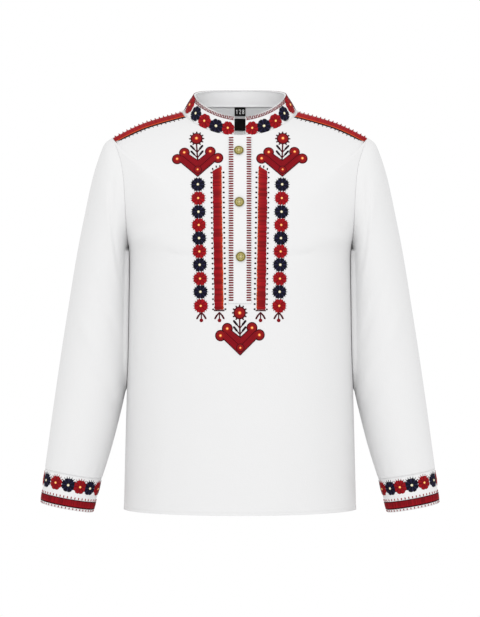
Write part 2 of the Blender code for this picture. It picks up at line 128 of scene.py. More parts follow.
# The sleeve lies against the body within this distance, from just below the underarm down to
# the stations where it lets go.
CLING, CLING_DOWN = 6.5, 7.0
CLING_LAST, CLING_END = 8.2, 10.6
CLING_SHARPNESS = 7

# Top edge of the collar: where it crosses the side, then each half as in the panel rows
RIM_SIDE = (60.0, -1.0, 26.6)
# middle_y, middle_z, reach, pull_y, pull_z
RIM = {FRONT: (-52.0, -6.5, 30.0, -24.0, -9.0), BACK: (45.0, 36.0, 33.0, 26.0, 8.0)}

# station along the back panel where each label starts and ends
SIZE_LABEL_ROWS = (0.03, 0.47)
NECK_LABEL_ROWS = (0.62, 1.26)

# x, z of the button centres
BUTTONS = ((-1.5, -52.1), (-0.9, -117.7), (0.9, -186.4))


def spline(table, at):
    """Natural cubic spline through the rows of a table, whose first column is the station."""
    table = np.asarray(table, float)
    station, value = table[:, 0], table[:, 1:]
    count, step = len(station), np.diff(station)
    left, right = np.eye(count), np.zeros_like(value)
    for i in range(1, count - 1):
        left[i, i - 1 : i + 2] = step[i - 1], 2 * (step[i - 1] + step[i]), step[i]
        rise_after = (value[i + 1] - value[i]) / step[i]
        rise_before = (value[i] - value[i - 1]) / step[i - 1]
        right[i] = 6 * (rise_after - rise_before)
    bend = np.linalg.solve(left, right)
    at = np.clip(np.asarray(at, float), station[0], station[-1])
    k = np.clip(np.searchsorted(station, at, side="right") - 1, 0, count - 2)
    a = ((station[k + 1] - at) / step[k])[..., None]
    b = ((at - station[k]) / step[k])[..., None]
    wave = ((a**3 - a) * bend[k] + (b**3 - b) * bend[k + 1]) * step[k][..., None] ** 2 / 6
    return np.moveaxis(a * value[k] + b * value[k + 1] + wave, -1, 0)


def bezier(start, lead, pull, end, t):
    t = np.asarray(t, float)[..., None]
    return (1 - t) ** 3 * start + 3 * (1 - t) ** 2 * t * lead + 3 * (1 - t) * t**2 * pull + t**3 * end


def points(x, y, z):
    return np.stack(np.broadcast_arrays(np.asarray(x, float), y, z), -1)


def unit(vectors):
    return vectors / np.maximum(np.linalg.norm(vectors, axis=-1, keepdims=True), 1e-9)


def smooth(value):
    value = np.clip(value, 0, 1)
    return value * value * (3 - 2 * value)


def bump(away, width):
    """A rounded rise of height 1 about nought."""
    return np.exp(-((away / width) ** 2))


def full_turn(count):
    return np.arange(count) * 2 * math.pi / count


def lengths_along(line):
    """How far each point of a line lies along it."""
    return np.concatenate([[0], np.cumsum(np.linalg.norm(np.diff(line, axis=0), axis=1))])


def between_rows(at, known, table):
    """Rows of a table at places between the known ones."""
    return np.stack([np.interp(at, known, column) for column in table.T], -1)


def sideways(along):
    """Directions in the surface, turned left by a quarter."""
    return np.stack([-along[:, 1], along[:, 0]], 1)


def seam_edge(side, station):
    """The seam that bounds a half panel: the shoulder, then the armhole, then the side."""
    station = np.asarray(station, float)
    shoulder_x, shoulder_z = spline(SHOULDER_SEAM, np.clip(station, 0, AT_TIP))
    side_x, side_z = spline(SIDE_SEAM, np.clip(station, AT_UNDERARM, AT_HEM))
    turn = np.clip((station - AT_TIP) / (AT_UNDERARM - AT_TIP), 0, 1) * math.pi
    table = [(i * math.pi / 6, x) for i, x in enumerate(ARMHOLE_X)]
    (arm_x,) = spline(table, turn)
    half_height = (ARMHOLE_TOP_Z - ARMHOLE_BOTTOM_Z) / 2
    arm_z = ARMHOLE_BOTTOM_Z + half_height * (1 + np.cos(turn))
    before, within = station <= AT_TIP, station < AT_UNDERARM
    x = np.where(before, shoulder_x, np.where(within, arm_x, side_x))
    z = np.where(before, shoulder_z, np.where(within, arm_z, side_z))
    return points(x, side * (SEAM_GAP / 2 + ARMHOLE_DEPTH[side] * np.sin(turn)), z)


def panel(side, t, station):
    """A half panel: t from its middle line (0) to its seam (1), stations down from the neck."""
    t, station = np.broadcast_arrays(np.asarray(t, float), np.asarray(station, float))
    middle_y, middle_z, reach, pull_x, pull_y, pull_z = spline(ROWS[side], station)
    end = seam_edge(side, station)
    start, lead = points(0, middle_y, middle_z), points(reach, middle_y, middle_z)
    return bezier(start, lead, end + points(pull_x, pull_y, pull_z), end, t)


def solve(function, target, low, high):
    """The value between low and high at which a rising function reaches the target."""
    low, high = np.broadcast_arrays(np.asarray(low, float), high)
    for _ in range(26):
        middle = (low + high) / 2
        under = function(middle) < target
        low, high = np.where(under, middle, low), np.where(under, high, middle)
    return (low + high) / 2


def body_x(y, z):
    """x of the body's side below the underarm, at a given depth and height."""
    heights, stations = [-row[2] for row in SIDE_SEAM], [row[0] for row in SIDE_SEAM]
    station = np.interp(-z, heights, stations)
    found = []
    for side in (FRONT, BACK):
        depth = np.maximum(side * y, 0.2)
        t = solve(lambda t: -side * panel(side, t, station)[..., 1], -depth, 0, 1 + 0 * depth)
        found.append(panel(side, t, station)[..., 0])
    return np.where(y < 0, found[0], found[1])


def armhole(turn):
    """The armhole as a loop: the shoulder tip at 0, the front at a quarter turn."""
    turn = np.mod(turn, 2 * math.pi)
    fore = turn <= math.pi
    share = np.where(fore, turn, 2 * math.pi - turn) / math.pi
    station = AT_TIP + (AT_UNDERARM - AT_TIP) * share
    return np.where(fore[..., None], seam_edge(FRONT, station), seam_edge(BACK, station))


def ring(row, turn):
    outer_x, outer_z, inner_x, inner_z, middle_y, half_depth = row
    c, s = np.cos(turn), np.sin(turn)
    x = (outer_x + inner_x) / 2 + c * (outer_x - inner_x) / 2
    z = (outer_z + inner_z) / 2 + c * (outer_z - inner_z) / 2
    return points(x, middle_y - s * half_depth, z)


def sleeve(turn, station):
    """The left sleeve: it starts on the armhole and hangs just clear of the body."""
    turn, station = np.broadcast_arrays(np.asarray(turn, float), np.asarray(station, float))
    place = ring(spline(SLEEVE_RINGS, station), turn)
    fade = smooth(1 - station / ARMHOLE_FADE)[..., None]
    place = place + fade * (armhole(turn) - ring(spline(SLEEVE_RINGS, 0 * station), turn))
    share = np.clip(station / CLEARANCE_FULL_AT, 0, 1)
    limit = body_x(place[..., 1], place[..., 2]) + SLEEVE_CLEARANCE * share
    over = place[..., 0] - limit
    clear = (over + np.sqrt(over**2 + CLEARANCE_SOFTNESS**2 * share)) / 2
    cling = CLING * smooth((ARMHOLE_BOTTOM_Z - place[..., 2]) / CLING_DOWN)
    cling = cling * (1 - smooth((station - CLING_LAST) / (CLING_END - CLING_LAST))) + 1e-6
    pushed = limit + clear * (1 - np.exp(-(np.minimum(clear / cling, 3) ** CLING_SHARPNESS)))
    below = place[..., 2] < ARMHOLE_BOTTOM_Z
    push = np.where(below, pushed - place[..., 0], 0)
    place[..., 0] += push + SEAM_GAP
    return place


def cuff(turn, share):
    start = ring(spline(SLEEVE_RINGS, 0 * turn + SLEEVE_RINGS[-1][0]), turn)
    end = ring(CUFF_END[1:], turn)
    along = unit(end - start)
    start = sleeve(turn, 0 * turn + SLEEVE_RINGS[-1][0]) + along * SEAM_GAP
    return start + (end - start) * share[..., None]


def rim(side, t):
    middle_y, middle_z, reach, pull_y, pull_z = RIM[side]
    end = np.array(RIM_SIDE)
    start, lead = points(0, middle_y, middle_z), points(reach, middle_y, middle_z)
    return bezier(start, lead, end + points(0, pull_y, pull_z), end, t)


LABEL_DIGITS = "128"

CLOTH_THICK = 1.2
TRIM_THICK = 2.0
LABEL_THICK, LABEL_LIFT = 0.6, 0.9
# station along the back panel where the strip under the size label starts and ends
LABEL_BINDING_ROWS = (0.49, 0.6)
PLACKET_HIGH, PLACKET_THICK = 1.35, 0.85
PLACKET_BOTTOM_Z = -245.2

HEM_DEPTH, HEM_RISE = 5.0, 0.35
HEM_STITCH_ABOVE, HEM_STITCH_PITCH, HEM_STITCH = 3.8, 3.4, 2.2
# mm from one station to the next near the hem
HEM_MM_ALONG = 49.0
SEAM_DIP, SEAM_DIP_WIDTH = 0.3, 1.4

random = np.random.default_rng(7)


def srgb(red, green, blue):
    """Linear colour from 0 to 255 screen values."""
    c = np.array((red, green, blue)) / 255
    return np.where(c <= 0.04045, c / 12.92, ((c + 0.055) / 1.055) ** 2.4)


RED = srgb(150, 12, 22)
CRIMSON = srgb(136, 12, 24)
BRICK = srgb(128, 16, 20)
FLAME = srgb(168, 42, 26)
MAROON = srgb(64, 4, 16)
BLACK = srgb(26, 6, 18)
NAVY = srgb(11, 10, 27)
ORANGE = srgb(210, 90, 40)
YELLOW = srgb(244, 204, 124)
CREAM = srgb(236, 226, 190)
ROSE = srgb(132, 14, 26)
WHITE = srgb(240, 240, 240)

# Soft creases as ridges (+) and troughs (-) along a line on a panel, both ends tapered
# x, z, to_x, to_z, width, height
FRONT_CREASES = (
    (-138, -150, -84, -128, 9, -0.9),
    (-140, -164, -96, -152, 8, 0.7),
    (139, -148, 92, -122, 10, -0.8),
    (141, -166, 90, -158, 8, 0.6),
    (-96, -380, -106, -512, 16, 0.9),
    (-30, -400, -36, -512, 20, -0.8),
    (44, -390, 52, -512, 18, 0.9),
    (112, -360, 118, -512, 14, -0.8),
    (-128, -200, -120, -300, 12, -0.6),
    (127, -210, 116, -330, 13, -0.7),
)
BACK_CREASES = (
    (-120, -140, -70, -190, 12, -2.0),
    (-128, -165, -78, -225, 11, 1.8),
    (122, -136, 66, -180, 12, -2.2),
    (130, -170, 84, -240, 12, 1.7),
    (-30, -60, -22, -330, 18, 1.6),
    (34, -70, 30, -360, 16, -1.6),
    (-84, -250, -92, -512, 20, 2.2),
    (-48, -300, -50, -512, 16, -2.0),
    (6, -280, 4, -512, 18, 1.8),
    (58, -270, 66, -512, 18, -2.0),
    (104, -240, 112, -512, 15, 1.8),
)
# The same along a sleeve: mm around from its outer edge towards the front, and its station
# around, station, to_around, to_station, width, height
SLEEVE_CREASES = (
    (52, 0.8, 96, 4.6, 9, -1.1),
    (60, 2.4, 112, 6.4, 9, 0.9),
    (66, 6.6, 128, 8.4, 10, -1.4),
    (48, 8.0, 118, 9.6, 9, 1.2),
    (70, 9.4, 132, 10.6, 9, -1.2),
    (200, 6.0, 262, 8.2, 12, -2.0),
    (196, 8.0, 258, 9.2, 11, 1.7),
    (206, 9.4, 250, 10.8, 10, -1.6),
    (226, 1.2, 190, 4.2, 12, -1.5),
)
SLEEVE_MM_AROUND = 45.0
SLEEVE_MM_ALONG = 33.0
CUFF_GATHERS = 17
CUFF_GATHER_HEIGHT = 0.2
SLEEVE_SPOKES = 216
SLEEVE_END = 13

# A thread's section: places across its half width, and the share of its height there
THREAD_ACROSS = np.array((-1, -0.62, 0, 0.62, 1))
THREAD_RISE = np.array((0.04, 0.75, 1, 0.75, 0.04))
# The same places across a band of satin stitch, the height between two stitches, and how far
# its slanted end reaches
SATIN_ACROSS = np.array((-1, -0.92, -0.7, -0.25, 0.25, 0.7, 0.92, 1))
SATIN_GROOVE = 0.62
SLANT_LENGTH = 14
PETALS, PETAL_TURN = 8, math.pi / 8
# mm up at which a horned motif's stem starts, and over which it leans
STEM_LOW = 22
# how much lighter or darker the thread looks between two petals
NOTCH_LIGHT, NOTCH_DARK = 7.0, -0.8

# x and z down the middle of the wearer's left band, and the share of its length at each
BAND_LINE = ((29.0, -74.5), (28.3, -130.0), (27.3, -190.0), (26.4, -253.2))
BAND_SHARES = (0, 0.31, 0.646, 1)
BAND_WIDTH, BAND_PITCH = 11.4, 1.65
COLUMN_FLOWER_RADIUS = 8.8
# height of each flower in the two columns
FLOWER_HEIGHTS = (-94.9, -112.4, -129.7, -146.4, -163.0, -179.7, -196.5, -213.9, -230.5, -248.2)
# mm around from the collar's front end, mm up from its seam, and radius; the last is at the
# middle of the back
COLLAR_FLOWERS = (
    (8.1, 8.7, 8.4),
    (23.6, 7.8, 10.3),
    (41.8, 8.5, 10.3),
    (60.8, 11.4, 10.3),
    (83.8, 13.8, 11.8),
    (105.0, 9.8, 10.3),
    (125.7, 8.8, 9.2),
    (146.4, 8.4, 9.2),
    (167.1, 8.4, 9.2),
    (187.8, 8.4, 9.2),
)
COLLAR_END_FLOWER_TALLER = 1.18
SHOULDER_BAND_TOP, SHOULDER_BAND_BOTTOM = 1.2, 9.2
SHOULDER_MM_ACROSS = 15.0
CUFF_HEIGHT = 44.0
CUFF_FLOWERS = 14
CUFF_FIRST_FLOWER = -1.8
CUFF_FLOWER_DOWN, CUFF_FLOWER_RADIUS = 13.3, 9.0
# how far some flowers stand from their even places
CUFF_FLOWER_SHIFTS = {2: -1.3, 8: -0.8, 9: -1.9, 10: -3.2, 11: -4.4, 12: -4.0, 13: -1.7}
CUFF_BAND_TOP, CUFF_BAND_BOTTOM = 30.6, 39.6

BUTTON_PROFILE = (
    (5.0, 0.0),
    (5.7, 0.25),
    (6.1, 0.9),
    (6.1, 1.4),
    (5.85, 1.85),
    (5.4, 2.05),
    (4.9, 2.0),
    (4.5, 1.7),
    (4.3, 1.5),
)
BUTTON_SIDES, HOLE_SIDES = 40, 14
BUTTON_HOLE_RADIUS, BUTTON_HOLE_OFFSET = 0.72, 1.45
BUTTON_LIFT = 0.45
BUTTON_WELL_RADIUS = 4.35

# Strokes of the size number on a grid two wide and four high
DIGITS = {
    "1": (((0.4, 3.2), (1.2, 4.0), (1.2, 0.0)),),
    "2": (((0.0, 3.3), (0.5, 4.0), (1.5, 4.0), (2.0, 3.2), (1.8, 2.4), (0.0, 0.0), (2.0, 0.0)),),
    "8": (
        ((1.0, 2.1), (0.2, 2.6), (0.2, 3.6), (1.0, 4.0), (1.8, 3.6), (1.8, 2.6), (1.0, 2.1)),
        ((1.0, 2.1), (0.0, 1.5), (0.0, 0.5), (1.0, 0.0), (2.0, 0.5), (2.0, 1.5), (1.0, 2.1)),
    ),
}
DIGIT_CELL = 1.25
DIGIT_PITCH = 4.3

WEAVE_SCALE, WEAVE_DETAIL, WEAVE_DEPTH = 700, 3, 0.0006

FLOOR_HALF, FLOOR_LEVEL = 1.0, -0.80
# name, place, watts, width
LAMPS = (
    ("key", (-0.7, -2.6, 1.5), 26.0, 2.0),
    ("fill", (1.4, -2.6, 0.1), 12.0, 2.0),
)
LAMP_AIM = (0.0, 0.0, -0.25)
CAMERA_DISTANCE, CAMERA_HEIGHT = 3.0, -0.2515
CAMERA_SENSOR, CAMERA_REACH = 36, 20
PICTURE_HEIGHT, MM_PER_PIXEL = 617, 1.30


def crease_relief(across, down, rows):
    total = np.zeros(np.broadcast(across, down).shape)
    for x0, z0, x1, z1, width, height in rows:
        run_x, run_z = x1 - x0, z1 - z0
        share = ((across - x0) * run_x + (down - z0) * run_z) / (run_x**2 + run_z**2)
        share = np.clip(share, 0, 1)
        away = np.hypot(across - x0 - share * run_x, down - z0 - share * run_z)
        taper = np.clip(4 * (share + 0.12) * (1.12 - share), 0, 1)
        total += height * bump(away, width) * taper
    return total


def smooth_normals(grid, wrap=False):
    """Normals of a grid of points, from its rows and columns."""
    down = np.gradient(grid, axis=0)
    if wrap:
        across = (np.roll(grid, -1, 1) - np.roll(grid, 1, 1)) / 2
    else:
        across = np.gradient(grid, axis=1)
    return unit(np.cross(across, down))


def facing(normals, row, column, direction):
    """The normals, turned round if the one named points away from the direction."""
    return normals if np.dot(normals[row, column], direction) > 0 else -normals


class Depth:
    """How far back the front panel lies at a given x and z, as a fine table."""

    STEP_X, STEP_Z = 2.0, 1.0
    REACH_X, LOW_Z, HIGH_Z = 152, -520, 8
    ROWS = 420

    def __init__(self):
        stations = np.linspace(0, AT_HEM, self.ROWS)[:, None]
        self.x = np.arange(0, self.REACH_X, self.STEP_X)
        level = stations + 0 * self.x
        t = solve(lambda t: panel(FRONT, t, level)[..., 0], self.x + 0 * level, 0, 1)
        places = panel(FRONT, t, level)
        self.z = np.arange(self.LOW_Z, self.HIGH_Z, self.STEP_Z)
        columns = []
        for i in range(len(self.x)):
            rising = places[::-1, i]
            columns.append(np.interp(self.z, rising[:, 2], rising[:, 1]))
        self.y = np.stack(columns, 1)

    def at(self, x, z):
        i = np.clip(np.abs(x) / self.STEP_X, 0, len(self.x) - 1.001)
        j = np.clip((z - self.z[0]) / self.STEP_Z, 0, len(self.z) - 1.001)
        i0, j0 = i.astype(int), j.astype(int)
        a, b = i - i0, j - j0
        low = self.y[j0, i0] * (1 - a) + self.y[j0, i0 + 1] * a
        high = self.y[j0 + 1, i0] * (1 - a) + self.y[j0 + 1, i0 + 1] * a
        return low * (1 - b) + high * b


depth = Depth()


def on_front(x, z, lift, base=0.0):
    """Points on the front as it is seen at x and z, lifted off the cloth."""
    x, z, lift = np.broadcast_arrays(np.asarray(x, float), z, lift)
    slope_x = (depth.at(x + 2, z) - depth.at(x - 2, z)) / 4
    slope_z = (depth.at(x, z + 2) - depth.at(x, z - 2)) / 4
    normal = unit(points(slope_x, -1.0, slope_z))
    relief = crease_relief(x, z, FRONT_CREASES)
    return points(x, depth.at(x, z), z) + normal * (relief + base + lift)[..., None]


class Patch:
    """A surface as a fine table over u and w, with its normals, for quick even look-up."""

    def __init__(self, u, w, places, outward, wrap=False):
        self.u, self.w, self.places = u, w, places
        self.normals = smooth_normals(places)
        if wrap:
            turned = np.gradient(places, axis=0)
            around = np.gradient(places, axis=1)
            around[:, 0] = around[:, -1] = (places[:, 1] - places[:, -2]) / 2
            self.normals = unit(np.cross(turned, around))
        self.normals = facing(self.normals, len(w) // 2, len(u) // 2, outward)
        self.wrap = wrap

    def at(self, u, w, lift):
        u, w, lift = np.broadcast_arrays(np.asarray(u, float), w, lift)
        if self.wrap:
            u = (u - self.u[0]) % (self.u[-1] - self.u[0]) + self.u[0]
        i = np.interp(u, self.u, np.arange(len(self.u)))
        j = np.interp(w, self.w, np.arange(len(self.w)))
        i0 = np.minimum(i.astype(int), len(self.u) - 2)
        j0 = np.minimum(j.astype(int), len(self.w) - 2)
        a, b = (i - i0)[..., None], (j - j0)[..., None]

        def mixed(table):
            low = table[j0, i0] * (1 - a) + table[j0, i0 + 1] * a
            high = table[j0 + 1, i0] * (1 - a) + table[j0 + 1, i0 + 1] * a
            return low * (1 - b) + high * b

        return mixed(self.places) + unit(mixed(self.normals)) * lift[..., None]


def material(name, colour, roughness, gloss=0.3, metallic=0.0, sheen=0.0, weave=0.0, tinted=False):
    made = bpy.data.materials.new(name)
    made.use_nodes = True
    nodes, links = made.node_tree.nodes, made.node_tree.links
    shader = nodes["Principled BSDF"]
    shader.inputs["Base Color"].default_value = (*colour, 1)
    shader.inputs["Roughness"].default_value = roughness
    shader.inputs["Metallic"].default_value = metallic
    shader.inputs["Sheen Weight"].default_value = sheen
    shader.inputs["Specular IOR Level"].default_value = gloss
    made.diffuse_color = (*colour, 1)
    if weave:
        place = nodes.new("ShaderNodeTexCoord")
        noise = nodes.new("ShaderNodeTexNoise")
        noise.inputs["Scale"].default_value = WEAVE_SCALE
        noise.inputs["Detail"].default_value = WEAVE_DETAIL
        relief = nodes.new("ShaderNodeBump")
        relief.inputs["Strength"].default_value = weave
        relief.inputs["Distance"].default_value = WEAVE_DEPTH
        links.new(place.outputs["Object"], noise.inputs["Vector"])
        links.new(noise.outputs["Fac"], relief.inputs["Height"])
        links.new(relief.outputs["Normal"], shader.inputs["Normal"])
    if tinted:
        tint = nodes.new("ShaderNodeVertexColor")
        tint.layer_name = "tint"
        links.new(tint.outputs["Color"], shader.inputs["Base Color"])
    return made


def add_object(name, data):
    made = bpy.data.objects.new(name, data)
    bpy.context.scene.collection.objects.link(made)
    return made


def show(node):
    """Put a piece in the place of its solid."""
    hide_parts(node)


def add_mesh(name, places, faces, finish, flat_from=None):
    mesh = bpy.data.meshes.new(name)
    mesh.from_pydata((np.asarray(places) * MM).tolist(), [], faces)
    mesh.materials.append(finish)
    shaded = np.ones(len(mesh.polygons), bool)
    if flat_from is not None:
        shaded[flat_from:] = False
    mesh.polygons.foreach_set("use_smooth", shaded)
    mesh.update()
    made = add_object(name, mesh)
    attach(made, "root")
    return made


def quads(rows, columns, wrap, start=0, flip=False):
    faces = []
    for i in range(rows - 1):
        for j in range(columns if wrap else columns - 1):
            k = (j + 1) % columns
            face = (start + i * columns + j, start + (i + 1) * columns + j)
            face += (start + (i + 1) * columns + k, start + i * columns + k)
            faces.append(face[::-1] if flip else face)
    return faces


def add_cloth(name, outer, normals, thick, finish, wrap=False):
    """A thin closed shell of cloth under a grid of outer points."""
    rows, columns = outer.shape[:2]
    count = rows * columns
    inner = outer - normals * thick
    # the outer faces point along the normals
    a, b, c = outer[0, 0], outer[1, 0], outer[0, 1]
    flip = np.dot(np.cross(b - a, c - a), normals[0, 0]) < 0
    faces = quads(rows, columns, wrap, 0, flip) + quads(rows, columns, wrap, count, not flip)
    smooth_count = len(faces)
    rims = []
    for j in range(columns if wrap else columns - 1):
        k = (j + 1) % columns
        rims.append((k, j))
        rims.append(((rows - 1) * columns + j, (rows - 1) * columns + k))
    if not wrap:
        for i in range(rows - 1):
            rims.append((i * columns, (i + 1) * columns))
            rims.append(((i + 2) * columns - 1, (i + 1) * columns - 1))
    for a, b in rims:
        face = (a, b, count + b, count + a)
        faces.append(face[::-1] if flip else face)
    places = np.concatenate([outer.reshape(-1, 3), inner.reshape(-1, 3)])
    made = add_mesh(name, places, faces, finish, flat_from=smooth_count)
    if finish in (COTTON, TRIM):
        # the inner faces take the lighter copy of the cloth, painted light inside the shirt
        made.data.materials.append(INSIDE_PAINTED_LIGHT)
        painted_light_faces = np.zeros(len(faces), int)
        painted_light_faces[smooth_count // 2 : smooth_count] = 1
        made.data.polygons.foreach_set("material_index", painted_light_faces)
    return made


class Stitching:
    """Coloured threads that are gathered into one mesh."""

    def __init__(self):
        self.places, self.colours, self.faces, self.count = [], [], [], 0

    def grid(self, places, colours, wrap=False):
        rows, columns = places.shape[:2]
        self.places.append(places.reshape(-1, 3))
        self.colours.append(np.broadcast_to(colours, places.shape).reshape(-1, 3))
        self.faces += quads(rows, columns, wrap, self.count)
        self.count += rows * columns

    def stroke(self, place, path, width, colour, height=0.55, steps=0, taper=False):
        """A rounded line of thread along a path of (u, w) points."""
        path = np.asarray(path, float)
        if steps:
            share = np.linspace(0, len(path) - 1, steps + 1)
            path = between_rows(share, np.arange(len(path)), path)
        along = unit(np.gradient(path, axis=0))
        side = sideways(along)
        ends = path[[0, -1]] + along[[0, -1]] * np.array([[-0.4], [0.4]]) * width
        path = np.concatenate([ends[:1], path, ends[1:]])
        side = np.concatenate([side[:1], side, side[-1:]])
        half = np.full(len(path), width / 2)
        half[0], half[-1] = width * 0.16, width * 0.16
        if taper:
            half[-2], half[-1] = width * 0.25, width * 0.06
        uw = path[:, None] + side[:, None] * (half[:, None] * THREAD_ACROSS)[..., None]
        lift = height * THREAD_RISE[None, :] * np.ones((len(path), 1))
        lift[0], lift[-1] = 0.05, 0.05
        self.grid(place(uw[..., 0], uw[..., 1], lift), colour)

    def make(self, name):
        """One mesh of all the threads, under its name in the pieces."""
        made = add_mesh(name, np.concatenate(self.places), self.faces, THREAD)
        layer = made.data.color_attributes.new("tint", "FLOAT_COLOR", "POINT")
        colours = np.concatenate(self.colours)
        rgba = np.concatenate([colours, np.ones((len(colours), 1))], 1)
        layer.data.foreach_set("color", rgba.astype(np.float32).ravel())
        made.data.color_attributes.active_color = layer
        work = bmesh.new()
        work.from_mesh(made.data)
        bmesh.ops.recalc_face_normals(work, faces=work.faces[:])
        work.to_mesh(made.data)
        work.free()


def centred(place, u0, w0, stretch=1.0):
    """A place function whose own (0, 0) is at (u0, w0)."""
    return lambda u, w, lift: place(u0 + u, w0 + w * stretch, lift)


def raised(place, more):
    """A place function that lies higher on the same surface."""
    return lambda u, w, lift: place(u, w, lift + more)


def mirrored(place, flip):
    return lambda u, w, lift: place(u, w, lift) * flip


def disc(stitch, place, radius, colour, height=0.5, sides=20):
    turn = full_turn(sides)
    share = np.array((0.0, 0.55, 0.88, 1.0))[:, None]
    lift = height * np.sqrt(np.clip(1.02 - share**2, 0.01, 1)) + 0 * turn
    u, w = share * radius * np.cos(turn), share * radius * np.sin(turn)
    stitch.grid(place(u, w, lift), colour, wrap=True)


def flower(stitch, place, radius, colour, heart, spikes):
    """A round flower in satin stitch: lobed petals, a notch between each two, and a heart."""
    sides = 8 * PETALS
    turn = full_turn(sides)
    lobe = np.abs(np.cos(PETALS * (turn - PETAL_TURN) / 2)) ** 0.6
    outline = radius * (0.88 + 0.12 * lobe) * random.uniform(0.975, 1.025, sides)
    share = np.array((0.0, 0.18, 0.4, 0.65, 0.86, 0.96, 1.0))[:, None]
    lift = 0.25 + 0.75 * (1 - share**4) * (0.4 + 0.6 * lobe)
    lift = np.where(share >= 1, 0.06, lift)
    u, w = share * outline * np.cos(turn), share * outline * np.sin(turn)
    thread = random.uniform(0.7, 1.12, sides)
    notch = 1 - smooth(lobe * 1.7)
    contrast = NOTCH_LIGHT if colour is NAVY else NOTCH_DARK
    shade = thread * (1 + contrast * notch) * (0.78 + 0.26 * share)
    stitch.grid(place(u, w, lift), colour * shade[..., None], wrap=True)
    for angle, length, tint in spikes:
        c, s = math.cos(angle), math.sin(angle)
        inner, outer = radius * 0.8, radius + length
        spike = ((inner * c, inner * s), (outer * c, outer * s))
        stitch.stroke(place, spike, 0.9, tint, 0.5, 2, True)
    ring = ORANGE if heart is YELLOW else heart * 0.55
    disc(stitch, raised(place, 0.85), radius * 0.2, ring, 0.25, 12)
    disc(stitch, raised(place, 1.0), radius * 0.13, heart, 0.35, 12)


def fan(first, last, count, length, tint):
    """Spikes spread evenly between two directions, in degrees."""
    return [(math.radians(a), length, tint) for a in np.linspace(first, last, count)]


def satin_band(stitch, place, path, width, colour_a, colour_b, pitch, skew=0.0, jag=0.1):
    """A band of stitches laid across a path; one colour at one side runs into the other.

    With a skew its first end is cut on a slant.
    """
    path = np.asarray(path, float)
    run = lengths_along(path)
    count = int(run[-1] / pitch)
    at = np.linspace(0, run[-1], 2 * count + 1)
    centre = between_rows(at, run, path)
    along = unit(np.gradient(centre, axis=0))
    side = sideways(along)
    across = SATIN_ACROSS
    wobble = np.repeat(random.uniform(-jag, jag, count + 1), 2)[: len(at)]
    reach = (width / 2 + wobble)[:, None] * across
    slant = skew * np.clip(1 - at / SLANT_LENGTH, 0, 1)[:, None] * across
    uw = centre[:, None] + side[:, None] * reach[..., None] + along[:, None] * slant[..., None]
    ridge = np.where(np.arange(len(at)) % 2 == 1, 1.0, SATIN_GROOVE)
    dome = np.sqrt(np.clip(1 - across**4, 0, 1))
    lift = 0.06 + 0.75 * ridge[:, None] * dome
    mix = smooth((across + 1) / 2)[None, :, None] ** (0.22 if colour_a is FLAME else 5.5)
    tone = np.repeat(random.uniform(0.6, 1.12, count + 1), 2)[: len(at)]
    colours = (colour_a * (1 - mix) + colour_b * mix) * tone[:, None, None]
    stitch.grid(place(uw[..., 0], uw[..., 1], lift), colours)


def along_path(path, pitch):
    """Points at equal steps along a path, each with its direction."""
    path = np.asarray(path, float)
    run = lengths_along(path)
    at = np.arange(pitch / 2, run[-1], pitch)
    along = between_rows(at + 0.3, run, path) - between_rows(at - 0.3, run, path)
    return between_rows(at, run, path), unit(along)


def comb(stitch, place, path, pitch, offset, length, colour, width):
    """Short stitches that stand out from a line, on the side that offset names."""
    centre, along = along_path(path, pitch)
    for c, s in zip(centre, sideways(along)):
        start = c + s * offset
        stitch.stroke(place, (start, start + s * length), width, colour, 0.55)


def ladder(stitch, place, path, pitch, length, colour, width, lean):
    """Rungs across a line, leaning a little to one side and the other."""
    centre, along = along_path(path, pitch)
    for i, (c, a, s) in enumerate(zip(centre, along, sideways(along))):
        tilt = a * lean * (1 if i % 2 else -1)
        tint = colour * random.uniform(0.75, 1.15)
        rung = (c - s * length / 2 - tilt, c + s * length / 2 + tilt)
        stitch.stroke(place, rung, width, tint, 0.5, 2)


def satin_tube(stitch, place, low, high, colour):
    """A tapering piece of long stitches between two lines, each from (u, w) to (u, w)."""
    low, high = np.array(low, float), np.array(high, float)
    steps = np.arange(7)
    u = np.linspace(0, 1, 12)[:, None, None]
    v = np.concatenate([(0.0, 0.04), (steps + 1) / 8, (0.96, 1.0)])[None, :, None]
    uw = (low[0] * (1 - v) + high[0] * v) * (1 - u) + (low[1] * (1 - v) + high[1] * v) * u
    crest = np.concatenate([(0.1, 0.7), 0.72 + 0.28 * (steps % 2 == 0), (0.7, 0.1)])
    lift = 0.75 * crest[None, :] + 0 * u[..., 0]
    # painted shade: the grooves between the long stitches and the low sloping edges are darkened to 0.62 of
    # the thread's colour
    tone = np.where(crest > 0.9, 1.0, 0.62) * random.uniform(0.86, 1.08, len(crest))
    stitch.grid(place(uw[..., 0], uw[..., 1], lift), colour * tone[None, :, None])


def eye(stitch, place, radius, ring, fill, lift=0.0):
    """A round spot in satin stitch with an outline, and an orange and yellow heart."""
    for more, size, colour, height, sides in (
        (0.0, 1.0, ring, 0.75, 28),
        (0.25, 0.84, fill, 0.7, 24),
        (0.75, 0.3, ORANGE, 0.45, 14),
        (0.95, 0.17, YELLOW, 0.45, 12),
    ):
        disc(stitch, raised(place, lift + more), radius * size, colour, height, sides)


